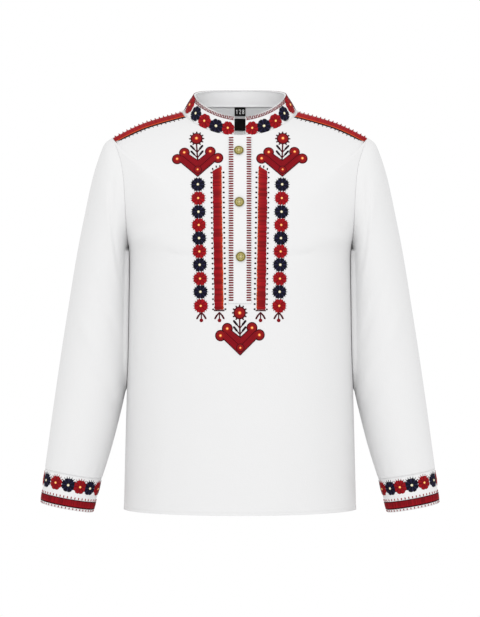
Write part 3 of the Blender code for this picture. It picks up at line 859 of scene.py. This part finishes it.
def horned_motif(stitch, place, stretch, spread, sway):
    """The V with a pair of circles on each arm, a stem with leaves and a round flower on it."""
    p = centred(place, 0, 0, stretch)

    def leaning(u, w, lift):
        return p(u + sway * np.clip(np.asarray(w) - STEM_LOW, 0, STEM_LOW) / STEM_LOW, w, lift)

    # each arm is two tubes side by side, and each tube ends under an eye
    tip, middle, notch = (0.0, 0.0), (0.05, 10.4), (0.1, 20.8)
    arms = (
        ((-25.4, 22.0), (-20.6, 28.0), (-14.4, 31.2)),
        ((25.0, 22.4), (20.0, 28.6), (13.4, 31.8)),
    )
    for arm in arms:
        low, between, high = ((u * spread, w) for u, w in arm)
        satin_tube(stitch, p, (tip, low), (middle, between), CRIMSON)
        satin_tube(stitch, p, (middle, between), (notch, high), CRIMSON)
        for line, width in (((tip, low), 1.3), ((notch, high), 1.3), ((middle, between), 0.8)):
            stitch.stroke(p, line, width, MAROON * 0.8, 0.85, 10)
    for u, w in ((-17.2, 31.6), (-26.2, 23.2), (15.8, 32.6), (25.6, 24.0)):
        eye(stitch, centred(p, u * spread, w), 6.9, MAROON * 1.1, BRICK)
    eye(stitch, centred(p, 0.2, 8.6), 5.2, MAROON, BRICK, 0.6)
    stitch.stroke(leaning, ((-0.2, 21.5), (-0.5, 44.0)), 1.9, MAROON * 1.3, 0.6, 8)
    for low, high in ((24.6, 33.2), (32.0, 40.6)):
        for side in (-1, 1):
            leaf = ((-0.3, low), (side * 3.6 - 0.3, low + 4.2), (side * 7.2 - 0.4, high))
            stitch.stroke(leaning, leaf, 1.6, MAROON * 0.8, 0.6, 6)
            tip_of_leaf = ((side * 3.6 - 0.4, (low + high) / 2), (side * 7.4 - 0.4, high + 0.2))
            stitch.stroke(leaning, tip_of_leaf, 2.7, BLACK, 0.75, 3)
    bloom = centred(leaning, -0.4, 50.4)
    for angle in range(0, 360, 30):
        c, s = math.cos(math.radians(angle)), math.sin(math.radians(angle))
        stitch.stroke(bloom, ((6.2 * c, 6.2 * s), (9.2 * c, 9.2 * s)), 1.9, MAROON * 0.9, 0.6, 2)
    eye(stitch, bloom, 7.8, MAROON * 1.2, BRICK * 1.05, 0.1)


def sprig(stitch, place):
    """Three short prongs below a band or a row of flowers."""
    stitch.stroke(place, ((0, 0.3), (0, -7.6)), 1.6, MAROON, 0.5, 3)
    disc(stitch, centred(place, 0, -9.4), 2.4, CRIMSON * 0.7, 0.7, 14)
    for side in (-1, 1):
        prong = ((0, 0.3), (side * 3.2, -3.0), (side * 5.6, -7.2))
        stitch.stroke(place, prong, 2.0, MAROON, 0.55, 5)
        stitch.stroke(place, (prong[1], prong[2]), 2.3, MAROON * 1.1, 0.6, 3)


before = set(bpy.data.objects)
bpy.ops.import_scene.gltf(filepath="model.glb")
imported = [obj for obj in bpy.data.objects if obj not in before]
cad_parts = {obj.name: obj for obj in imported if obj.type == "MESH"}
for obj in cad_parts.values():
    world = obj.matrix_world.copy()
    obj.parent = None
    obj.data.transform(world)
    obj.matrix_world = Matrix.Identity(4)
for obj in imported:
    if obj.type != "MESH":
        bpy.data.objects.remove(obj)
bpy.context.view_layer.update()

COTTON = material("cotton", (0.67, 0.67, 0.672), 0.9, sheen=0.1, weave=0.25)
TRIM = material("cotton_trim", (0.68, 0.68, 0.682), 0.9, sheen=0.1, weave=0.2)
# painted light: the cloth's inner faces are made far lighter than its outer faces, to stand in for the light
# that reaches inside the shirt
INSIDE_PAINTED_LIGHT = material("cotton_inside_painted_light", (0.93, 0.93, 0.935), 0.95, sheen=0.1, weave=0.15)
THREAD = material("thread", RED, 0.6, gloss=0.08, tinted=True)
BUTTON = material("button", srgb(160, 150, 88), 0.4)
BUTTON_EDGE = material("button_edge", srgb(112, 102, 40), 0.4)
LABEL = material("label", srgb(24, 21, 23), 0.75, gloss=0.1)
MIRROR = np.array((-1, 1, 1))


def hem_relief(above):
    """Rise of the folded hem, with the dip that its stitch line pulls in."""
    fold = HEM_RISE * (1 - smooth((above - HEM_DEPTH) / 1.2))
    return fold - 0.3 * bump(above - HEM_STITCH_ABOVE, 0.7)


def half_shares(count):
    """Shares from the middle to the seam, finer at the seam."""
    inner = np.linspace(0, 0.965, count)
    return np.concatenate([inner, (0.975, 0.983, 0.989, 0.994, 1.0)])


def panel_stations():
    top = np.linspace(0, AT_TIP, 26)[:-1]
    middle = np.linspace(AT_TIP, AT_UNDERARM, 44)[:-1]
    low = np.linspace(AT_UNDERARM, 16.0, 96)[:-1]
    return np.concatenate([top, middle, low, np.linspace(16.0, AT_HEM, 9)])


def panel_cloth(side, count):
    """A whole panel with its creases, hem and the dips at its seams."""
    shares, stations = half_shares(count), panel_stations()
    right = panel(side, shares[None, :], stations[:, None])
    grid = np.concatenate([right[:, :0:-1] * MIRROR, right], 1)
    # the kink that the shoulder tip leaves across the panel is eased
    near_tip = smooth((np.abs(grid[..., 0]) - 85) / 20) * smooth((4.4 - stations[:, None]) / 0.8)
    edge = np.linalg.norm(grid - np.where(grid[..., :1] < 0, grid[:, :1], grid[:, -1:]), axis=-1)
    near_tip = near_tip * smooth((edge - 9) / 25) * smooth((stations[:, None] - 1.6) / 0.6)
    near_underarm = smooth((np.abs(grid[..., 0]) - 85) / 20) * smooth((edge - 0.5) / 12)
    near_underarm = near_underarm * bump(stations[:, None] - AT_UNDERARM, 1.1)
    near_tip = np.maximum(near_tip, near_underarm)[..., None]
    for _ in range(40):
        eased = grid.copy()
        eased[1:-1] = (grid[:-2] + 2 * grid[1:-1] + grid[2:]) / 4
        grid = grid + (eased - grid) * near_tip
    normals = facing(smooth_normals(grid), 60, len(shares), (0, side, 0))
    rows = FRONT_CREASES if side == FRONT else BACK_CREASES
    relief = crease_relief(grid[..., 0], grid[..., 2], rows)
    relief = relief * smooth((edge - 1) / 14)
    relief = relief - SEAM_DIP * bump(edge, SEAM_DIP_WIDTH)
    above = np.linalg.norm(grid - grid[-1:], axis=-1)
    relief = relief + np.where(np.arange(len(stations))[:, None] > 150, hem_relief(above), 0)
    return grid + normals * relief[..., None], normals


def sleeve_cloth():
    turn = full_turn(SLEEVE_SPOKES)
    stations = np.concatenate([(0, 0.02, 0.05, 0.1), np.linspace(0.18, SLEEVE_END, 150)])
    grid = sleeve(turn[None, :], stations[:, None])
    # the seam is drawn shut, without the gap that the solids keep
    grid[..., 0] -= SEAM_GAP * np.clip(1 - stations[:, None], 0, 1)
    normals = facing(smooth_normals(grid, wrap=True), 60, 0, (1, 0, 0))
    around = SLEEVE_MM_AROUND * turn[None, :]
    along = SLEEVE_MM_ALONG * stations[:, None]
    rows = np.array(SLEEVE_CREASES) * (1, SLEEVE_MM_ALONG, 1, SLEEVE_MM_ALONG, 1, 1)
    relief = crease_relief(around, along, rows)
    start = np.linalg.norm(grid - grid[:1], axis=-1)
    relief = relief * smooth((start - 2) / 20) * smooth((SLEEVE_END - stations[:, None]) / 0.3)
    relief = relief - SEAM_DIP * bump(start, SEAM_DIP_WIDTH)
    # small gathers run up from the cuff and fade
    uneven = 1 + 0.35 * np.sin(3 * turn + 0.7) + 0.25 * np.sin(5 * turn)
    fade = bump(SLEEVE_MM_ALONG * (SLEEVE_END - stations[:, None]), 24)
    close = smooth((SLEEVE_END - stations[:, None]) * SLEEVE_MM_ALONG / 2.5)
    waves = np.sin(CUFF_GATHERS * turn + 1.3 * np.sin(2 * turn)) * uneven
    relief = relief + CUFF_GATHER_HEIGHT * 0.5 * waves * fade * close + 0.25 * fade * close
    near_body = smooth((grid[..., 0] - 150) / 14)
    relief = np.where(stations[:, None] < 10, relief * near_body, relief)
    return grid + normals * relief[..., None], normals


def add_panels():
    for name, side, count in (("front_cloth", FRONT, 58), ("back_cloth", BACK, 46)):
        grid, normals = panel_cloth(side, count)
        made = add_cloth(name, grid, normals, CLOTH_THICK, COTTON)
        show(name.split("_")[0])


def add_sleeves():
    grid, normals = sleeve_cloth()
    turn = full_turn(SLEEVE_SPOKES)
    share = np.linspace(0, 1, 18)[:, None]
    band = cuff(turn[None, :] + 0 * share, share + 0 * turn[None, :])
    band[0] = grid[-1]
    band_normals = facing(smooth_normals(band, wrap=True), 5, 0, (1, 0, 0))
    length = np.linalg.norm(band - band[-1:], axis=-1)
    top = np.linalg.norm(band - band[:1], axis=-1)
    pull = 0.35 * bump(length, 1.2) + 0.08 * bump(top, 1.4)
    band = band - band_normals * pull[..., None]
    for name, flip in (("left", 1), ("right", MIRROR)):
        turned = normals * flip
        made = add_cloth(f"sleeve_{name}_cloth", grid * flip, turned, CLOTH_THICK, COTTON, wrap=True)
        show(f"sleeve_{name}")
        turned = band_normals * flip
        made = add_cloth(f"cuff_{name}_cloth", band * flip, turned, TRIM_THICK, TRIM, wrap=True)
        show(f"cuff_{name}")


def collar_lines(count):
    """Seam and rim of the collar's left half, from its front end to the middle of the back."""
    first_t = float(solve(lambda t: panel(FRONT, t, 0.0)[..., 0], COLLAR_OPENING_HALF, 0.0, 0.6))
    first_rim = float(solve(lambda t: rim(FRONT, t)[..., 0], COLLAR_OPENING_HALF, 0.0, 0.6))
    share = np.linspace(0, 1, count)
    fore = panel(FRONT, first_t + (1 - first_t) * share, 0.0)
    aft = panel(BACK, share[::-1], 0.0)
    base = np.concatenate([fore[:-1], (fore[-1:] + aft[:1]) / 2, aft[1:]])
    fore_rim = rim(FRONT, first_rim + (1 - first_rim) * share)
    top = np.concatenate([fore_rim, rim(BACK, share[::-1])[1:]])
    return base, top


class Collar:
    """The collar's outer face: mm around from its front end, and mm up from its seam."""

    def __init__(self):
        self.base, self.top = collar_lines(120)
        middle = (self.base + self.top) / 2
        self.run = lengths_along(middle)
        self.length = self.run[-1]

    def point(self, around, up):
        places = [between_rows(around, self.run, line) for line in (self.base, self.top)]
        height = np.linalg.norm(places[1] - places[0], axis=-1, keepdims=True)
        return places[0] + (places[1] - places[0]) * up[..., None] / height

    def patch(self):
        """The collar's whole outer face as a table; u runs on from the back to the other end."""
        ups = np.linspace(-1, 26, 28)
        half = self.point(self.run[None, :] + 0 * ups[:, None], ups[:, None] + 0 * self.run[None, :])
        u = np.concatenate([self.run, 2 * self.length - self.run[-2::-1]])
        places = np.concatenate([half, half[:, -2::-1] * MIRROR], 1)
        return Patch(u, ups, places, (0, 1, 0))


def add_collar():
    share = np.concatenate([(0, 0.02, 0.05), np.linspace(0.1, 0.9, 12), (0.95, 0.98, 1.0)])
    share = share[::-1, None, None]
    base, top = collar.base, collar.top
    half = base + (top - base) * share
    grid = np.concatenate([half, half[:, -2::-1] * MIRROR], 1)
    normals = facing(smooth_normals(grid), 0, 3, (0, -1, 0))
    height = np.linalg.norm(top - base, axis=-1)
    height = np.concatenate([height, height[-2::-1]])
    up = share[..., 0] * height
    soft = 0.45 * bump(up, 1.3) + 0.4 * bump(height - up, 1.0)
    grid = grid - normals * soft[..., None]
    made = add_cloth("collar_cloth", grid, normals, TRIM_THICK, TRIM)
    show("collar")


def add_placket():
    x = np.concatenate([(-14.3, -14.0, -13.4), np.linspace(-12, 12, 15), (13.4, 14.0, 14.3)])
    neck = panel(FRONT, np.linspace(0, 0.3, 40), 0.0)
    neck_z = np.interp(np.abs(x), neck[:, 0], neck[:, 2])
    share = np.concatenate([np.linspace(0, 0.985, 110), (0.992, 0.997, 1.0)])[:, None]
    z = neck_z + (PLACKET_BOTTOM_Z - neck_z) * share
    across = x + 0 * z
    edge = np.minimum(PLACKET_HALF - np.abs(across), z - PLACKET_BOTTOM_Z)
    lift = PLACKET_HIGH - 0.5 * bump(edge, 0.7) - 0.12 * bump(edge - 2.2, 0.5)
    grid = on_front(across, z, lift)
    normals = facing(smooth_normals(grid), 40, 8, (0, -1, 0))
    made = add_cloth("placket_cloth", grid, normals, PLACKET_THICK, TRIM)
    show("placket")


def inside_back():
    """The inner face of the back near its middle, over x and the station."""
    x, station = np.linspace(-20, 20, 41)[None, :], np.linspace(0, 1.4, 57)[:, None]
    wide = np.abs(x) + 0 * station
    t = solve(lambda t: panel(BACK, t, station + 0 * x)[..., 0], wide, 0.0, 0.6)
    places = panel(BACK, t, station + 0 * x)
    places[..., 0] = x
    patch = Patch(x[0], station[:, 0], places, (0, -1, 0))
    return lambda u, w, lift: patch.at(u, w, lift + CLOTH_THICK)


def add_labels():
    jobs = (
        ("size_label", SIZE_LABEL_ROWS, SIZE_LABEL_HALF, LABEL),
        ("neck_label", NECK_LABEL_ROWS, NECK_LABEL_HALF, LABEL),
        ("label_binding", LABEL_BINDING_ROWS, SIZE_LABEL_HALF, TRIM),
    )
    on_back_inside = inside_back()
    for name, (start, end), half, finish in jobs:
        x = np.linspace(-half, half, 15)[None, :]
        station = np.linspace(start, end, 9)[:, None]
        grid = on_back_inside(x, station, LABEL_LIFT + 0 * x * station)
        normals = facing(smooth_normals(grid), 4, 7, (0, -1, 0))
        made = add_cloth(name + "_cloth", grid, normals, LABEL_THICK, finish)
        if name == "label_binding":
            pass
        else:
            show(name)
    number = Stitching()
    top, bottom = SIZE_LABEL_ROWS

    def on_label(u, w, lift):
        return on_back_inside(u, top + (bottom - top) * (0.72 - w / 10.4), lift + 1.0)

    for i, digit in enumerate(LABEL_DIGITS):
        for path in DIGITS[digit]:
            # the number reads from the front, through the neck
            drawn = [((i - 1) * DIGIT_PITCH + (u - 1) * DIGIT_CELL * 0.85, w * DIGIT_CELL) for u, w in path]
            number.stroke(on_label, drawn, 0.9, WHITE, 0.25, 14)
    number.make("size_number")


def add_front_embroidery():
    left = Stitching()
    for side in (-1, 1):
        horned_motif(left, centred(on_front, side * 53.5, -84.4), 0.98, 1.0, side * 1.4)
        for i, z in enumerate(FLOWER_HEIGHTS):
            x = side * np.interp(z, (-248.2, -94.9), (49.2, 53.1))
            colour, heart = (NAVY, CREAM) if i % 2 == 0 else (RED, YELLOW)
            spikes = fan(0, 340, 18, 0.9, colour * 0.7)
            flower(left, centred(on_front, x, z), COLUMN_FLOWER_RADIUS, colour, heart, spikes)
        path = np.array(BAND_LINE) * (side, 1)
        tints = (CRIMSON, FLAME) if side < 0 else (FLAME, CRIMSON)
        satin_band(left, on_front, path, BAND_WIDTH, *tints, BAND_PITCH, side * 3.2, 0.45)
        for u, w in ((side * 34.4, -76.0), (side * 29.9, -73.0), (side * 25.3, -72.6)):
            left.stroke(on_front, ((u, w), (u + side * 0.3, w + 1.8)), 1.7, BLACK, 0.6)
        for way in (-1, 1):
            start, length = (7.6, 1.0) if way != side else (7.0, 0.6)
            comb(left, on_front, path + (0, -2), 6.4, way * start, way * length, BLACK * 0.6, 2.3)
        glints = np.interp(np.arange(4, 176, 3.3), (0, 179), (0, 1))
        for share in glints * random.uniform(0.995, 1.005, len(glints)):
            u, w = between_rows(share, BAND_SHARES, path) - (side * 5.2, 0)
            tint = ORANGE * random.uniform(0.7, 1.1)
            left.stroke(on_front, ((u, w), (u, w - 1.6)), 1.1, tint, 1.0)
        left.stroke(on_front, ((side * 19.9, -254.2), (side * 32.2, -254.2)), 1.4, MAROON * 0.7, 0.8, 12)
        for x in (25.8, 48.6):
            sprig(left, centred(on_front, side * x, -257.0))
    horned_motif(left, centred(on_front, 0.2, -309.9), 1.05, 0.94, -0.2)
    left.make("front_embroidery")
    strip = Stitching()
    over_placket = lambda u, w, lift: on_front(u, w, lift, PLACKET_HIGH)
    for side in (-1, 1):
        path = ((side * 11.2, -33.5), (side * 11.2, -120.0), (side * 11.0, -243.6))
        ladder(strip, over_placket, path, 3.12, 4.7, ROSE * 0.66, 1.9, 0.08)
    strip.make("placket_embroidery")


def add_collar_embroidery():
    work = Stitching()
    face = collar.patch().at
    for flip in (False, True):
        if flip:
            place = lambda u, w, lift: face(2 * collar.length - u, w, lift)
        else:
            place = face
        for k, (around, up, radius) in enumerate(COLLAR_FLOWERS[: -1 if flip else None]):
            colour, heart = (RED, YELLOW) if k % 2 == 0 else (NAVY, CREAM)
            spot = centred(place, around, up, 1.0 if k else COLLAR_END_FLOWER_TALLER)
            flower(work, spot, radius, colour, heart, fan(215, 325, 9, 0.45, colour * 0.7))
        rows = np.linspace(0.8, collar.length, 60)
        height = np.linalg.norm(collar.top - collar.base, axis=-1)
        rail = np.stack([rows, np.interp(rows, collar.run, height) - 2.7], 1)
        ladder(work, place, rail, 2.75, 4.4, ROSE * 0.6, 1.75, 0.3)
        for way in (-2.4, 2.4):
            work.stroke(place, rail + (0, way), 0.75, ROSE * 0.55, 0.4)
    work.make("collar_embroidery")


def add_shoulder_embroidery():
    """A satin band on each shoulder, just in front of the seam, laid from the seam's own points."""
    stations = np.linspace(0.07, 3.6, 190)
    seam = seam_edge(FRONT, np.linspace(0, AT_TIP, 120))
    shares = np.linspace(0.0, 0.35, 160)
    rows = panel(FRONT, 1 - shares[None, :], stations[:, None])
    drop = np.interp(rows[..., 0], seam[:, 0], seam[:, 2]) - rows[..., 2]
    # past the shoulder tip the band ends along the armhole
    kept = drop[:, 0] < SHOULDER_BAND_BOTTOM
    stations, drop = stations[kept], drop[kept]
    edge = []
    for fall in (SHOULDER_BAND_TOP, SHOULDER_BAND_BOTTOM):
        edge.append(np.array([np.interp(fall, row, shares) for row in drop]))

    # w runs from the band's lower edge (0) to its upper edge (1)
    across = np.linspace(-0.4, 1.3, 24)[:, None]
    share = np.clip(edge[1] * (1 - across) + edge[0] * across, 0, 1)
    places = panel(FRONT, 1 - share, stations + 0 * share)
    middle = len(across) // 2
    run = lengths_along(places[middle])
    place = Patch(run, across[:, 0], places, (0, 0, 1)).at

    work = Stitching()
    length = run[-1]
    for flip in (1, MIRROR):
        here = mirrored(place, flip)
        at = np.arange(0, length, 0.65)
        across = np.array((0, 0.04, 0.15, 0.4, 0.65, 0.88, 0.97, 1.0))
        ridge = np.where(np.arange(len(at)) % 2 == 1, 1.0, 0.62)[:, None]
        lift = 0.06 + 0.75 * ridge * np.sqrt(np.clip(1 - (2 * across - 1) ** 4, 0, 1))
        tone = np.repeat(random.uniform(0.75, 1.12, len(at)), 2)[: len(at)]
        mix = smooth(across * 4)[None, :, None]
        colours = (FLAME * 0.9 * (1 - mix) + RED * mix) * tone[:, None, None]
        work.grid(here(at[:, None], across, lift), colours)
        rail = np.linspace(0, length, 60)
        tall = SHOULDER_MM_ACROSS
        scaled = lambda u, w, lift: here(u, w / tall, lift)
        raised = lambda u, w, lift: scaled(u, w, lift + 0.9 * np.clip((w - tall) / 1.5, 0, 1))
        work.stroke(scaled, np.stack([rail, 0 * rail - 1.2], 1), 2.6, BLACK, 0.85)
        work.stroke(scaled, np.stack([rail, 0 * rail + 0.9], 1), 0.9, ORANGE, 0.9)
        for at_u in np.arange(2.5, length, 5.6):
            up, down = random.uniform(1.6, 2.8), random.uniform(4.2, 5.8)
            work.stroke(raised, ((at_u, tall - 0.6), (at_u + 0.8, tall + up)), 1.5, RED * 0.9, 0.6)
            work.stroke(scaled, ((at_u + 2, -2.2), (at_u + 2, -down)), 1.2, MAROON, 0.5)
    work.make("shoulder_embroidery")


def add_cuff_embroidery():
    """Flowers all round, and a satin band between two rows of short stitches."""
    turns = np.linspace(0, 2 * math.pi, 361)
    downs = np.linspace(0, 1, 45)
    places = cuff(turns[None, :] + math.pi / 2, downs[:, None])
    run = lengths_along(places[22])
    girth = run[-1]
    # u runs around from the front, w down from the cuff's seam
    place = Patch(run, downs * CUFF_HEIGHT, places, (0, 1, 0), wrap=True).at

    for name, flip in (("left", 1), ("right", MIRROR)):
        work = Stitching()
        here = mirrored(place, flip)
        pitch = girth / CUFF_FLOWERS
        for k in range(CUFF_FLOWERS):
            colour, heart = (NAVY, CREAM) if k % 2 == 0 else (RED * 0.85, YELLOW)
            around = CUFF_FIRST_FLOWER + k * pitch + CUFF_FLOWER_SHIFTS.get(k, 0)
            spot = centred(here, around, CUFF_FLOWER_DOWN)
            spikes = fan(215, 325, 7, 1.9, colour * 0.75)
            flower(work, spot, CUFF_FLOWER_RADIUS, colour, heart, spikes)
        ring = np.linspace(0, girth, 240)
        middle = np.stack([ring, 0 * ring + (CUFF_BAND_TOP + CUFF_BAND_BOTTOM) / 2], 1)
        width = CUFF_BAND_BOTTOM - CUFF_BAND_TOP
        satin_band(work, here, middle, width, CRIMSON * 0.85, RED * 1.1, 1.3)
        for down, size, colour in (
            (CUFF_BAND_TOP + 0.3, 1.3, MAROON),
            (CUFF_BAND_BOTTOM - 1.7, 0.9, ROSE),
            (CUFF_BAND_BOTTOM - 0.1, 2.0, MAROON * 0.8),
        ):
            work.stroke(here, np.stack([ring, 0 * ring + down], 1), size, colour, 0.9)
        step = girth / round(girth / 5.0)
        for u in np.arange(0, girth - 0.1, step):
            above = ((u, CUFF_BAND_TOP - 1.3), (u, CUFF_BAND_TOP - 3.2))
            work.stroke(here, above, 1.4, RED * 0.8, 0.55)
            below = ((u, CUFF_BAND_BOTTOM + 1.9), (u, CUFF_BAND_BOTTOM + 3.2))
            work.stroke(here, below, 1.4, RED * 0.7, 0.55)
        work.make(f"cuff_{name}_embroidery")


def add_hem_stitching():
    """The line of white stitches above the hem, all round."""
    work = Stitching()
    for side in (FRONT, BACK):
        share = np.linspace(0.0, 0.995, 300)
        downs = np.linspace(-1, 1, 5)
        stations = AT_HEM - HEM_STITCH_ABOVE / HEM_MM_ALONG - downs[:, None] / HEM_MM_ALONG
        places = panel(side, share[None, :], stations)
        run = lengths_along(places[2])
        rows = FRONT_CREASES if side == FRONT else BACK_CREASES
        away = np.interp(run, (run[-1] - 15, run[-1] - 1), (1, 0))
        for flip in (1, MIRROR):
            turned = places * flip
            relief = crease_relief(turned[..., 0], turned[..., 2], rows) * away
            normals = facing(smooth_normals(turned), 2, 10, (0, side, 0))
            place = Patch(run, downs, turned + normals * relief[..., None], (0, side, 0)).at
            for u in np.arange(1.6, run[-1] - 2, HEM_STITCH_PITCH):
                work.stroke(place, ((u, 0.0), (u + HEM_STITCH, 0.0)), 0.55, WHITE * 0.78, 0.35)
    work.make("hem_stitching")


def button_mesh(centre, toward):
    """A round dished button with four holes, facing along a direction."""
    work = bmesh.new()
    turn = [2 * math.pi * i / BUTTON_SIDES for i in range(BUTTON_SIDES)]
    rings = []
    for radius, height in BUTTON_PROFILE:
        spots = [(radius * math.cos(a), radius * math.sin(a), height) for a in turn]
        rings.append([work.verts.new(spot) for spot in spots])
    for lower, upper in zip(rings, rings[1:]):
        for i in range(BUTTON_SIDES):
            k = (i + 1) % BUTTON_SIDES
            work.faces.new((lower[i], lower[k], upper[k], upper[i])).smooth = True
    holes = []
    for outline, height in ((rings[0], BUTTON_PROFILE[0][1]), (rings[-1], BUTTON_PROFILE[-1][1])):
        edges = [work.edges.get(pair) for pair in zip(outline, outline[1:] + outline[:1])]
        loops = []
        for sign_x in (-1, 1):
            for sign_y in (-1, 1):
                loop = []
                for i in range(HOLE_SIDES):
                    a = 2 * math.pi * i / HOLE_SIDES
                    x = sign_x * BUTTON_HOLE_OFFSET + BUTTON_HOLE_RADIUS * math.cos(a)
                    y = sign_y * BUTTON_HOLE_OFFSET + BUTTON_HOLE_RADIUS * math.sin(a)
                    loop.append(work.verts.new((x, y, height)))
                edges += [work.edges.new(pair) for pair in zip(loop, loop[1:] + loop[:1])]
                loops.append(loop)
        holes.append(loops)
        bmesh.ops.triangle_fill(work, edges=edges, use_beauty=True, normal=(0, 0, 1 if height else -1))
    for low, high in zip(*holes):
        for i in range(HOLE_SIDES):
            k = (i + 1) % HOLE_SIDES
            work.faces.new((low[i], high[i], high[k], low[k]))
    bmesh.ops.recalc_face_normals(work, faces=work.faces[:])
    for face in work.faces:
        face.material_index = int(face.calc_center_median().xy.length > BUTTON_WELL_RADIUS)
    across = unit(np.cross((0.0, 0.0, 1.0), toward))
    upward = np.cross(toward, across)
    for vert in work.verts:
        x, y, z = vert.co
        vert.co = (centre + across * x + upward * y + toward * z) * MM
    return work, across, upward


def add_buttons():
    threads = Stitching()
    for number, (x, z) in enumerate(BUTTONS, 1):
        station = solve(lambda s: -panel(FRONT, 0, s)[..., 2], -z, 0.0, AT_HEM)
        fall = unit(panel(FRONT, 0, station + 0.1) - panel(FRONT, 0, station - 0.1))
        toward = np.array((0.0, fall[2], -fall[1]))
        lift = PLACKET_HIGH + BUTTON_LIFT
        centre = panel(FRONT, 0, station) * (0, 1, 1) + (x, 0, 0) + toward * lift
        work, across, upward = button_mesh(centre, toward)
        mesh = bpy.data.meshes.new(f"button_{number}_fine")
        work.to_mesh(mesh)
        work.free()
        mesh.materials.append(BUTTON)
        mesh.materials.append(BUTTON_EDGE)
        made = add_object(mesh.name, mesh)
        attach(made, "root")
        show(f"button_{number}")
        floor = BUTTON_PROFILE[-1][1]

        def place(u, w, lift):
            u, w, lift = np.broadcast_arrays(np.asarray(u, float), w, lift)
            height = (lift + floor)[..., None]
            return centre + across * u[..., None] + upward * w[..., None] + toward * height

        d = BUTTON_HOLE_OFFSET
        for a, b in (((-d, -d), (d, d)), ((-d, d), (d, -d))):
            threads.stroke(place, (a, b), 0.6, srgb(214, 205, 170), 0.55, 4)
            for u, w in (a, b):
                shadow = centred(place, u * 1.12, w * 1.12)
                disc(threads, shadow, 0.8, srgb(78, 66, 30), 0.12, 12)
    threads.make("button_threads")


collar = Collar()
add_panels()
add_sleeves()
add_collar()
add_placket()
add_labels()
add_front_embroidery()
add_collar_embroidery()
add_shoulder_embroidery()
add_cuff_embroidery()
add_hem_stitching()
add_buttons()


def add_stage():
    mesh = bpy.data.meshes.new("floor")
    corners = [(x * FLOOR_HALF, y * FLOOR_HALF, FLOOR_LEVEL) for x, y in ((-1, -1), (1, -1), (1, 1), (-1, 1))]
    mesh.from_pydata(corners, [], [(0, 1, 2, 3)])
    mesh.materials.append(material("floor", (0.9, 0.9, 0.9), 0.9))
    add_object("floor", mesh)

    world = bpy.data.worlds.new("studio")
    world.use_nodes = True
    world.node_tree.nodes["Background"].inputs["Color"].default_value = (1, 1, 1, 1)
    world.node_tree.nodes["Background"].inputs["Strength"].default_value = 1.0
    bpy.context.scene.world = world
    bpy.context.scene.view_settings.view_transform = "Standard"

    for name, spot, energy, size in LAMPS:
        light = bpy.data.lights.new(name, "AREA")
        light.energy, light.size = energy, size
        lamp = add_object(name, light)
        lamp.location = spot
        aim = np.array(LAMP_AIM) - np.array(spot)
        turn = math.atan2(aim[0], -aim[1])
        tilt = math.acos(-aim[2] / np.linalg.norm(aim))
        lamp.rotation_euler = (tilt, 0, turn + math.pi)

    camera = add_object("camera", bpy.data.cameras.new("camera"))
    camera.location = (0, -CAMERA_DISTANCE, CAMERA_HEIGHT)
    camera.rotation_euler = (math.pi / 2, 0, 0)
    camera.data.lens = CAMERA_SENSOR * CAMERA_DISTANCE / (PICTURE_HEIGHT * MM_PER_PIXEL * MM)
    camera.data.sensor_width = CAMERA_SENSOR
    camera.data.clip_end = CAMERA_REACH
    bpy.context.scene.camera = camera


add_stage()
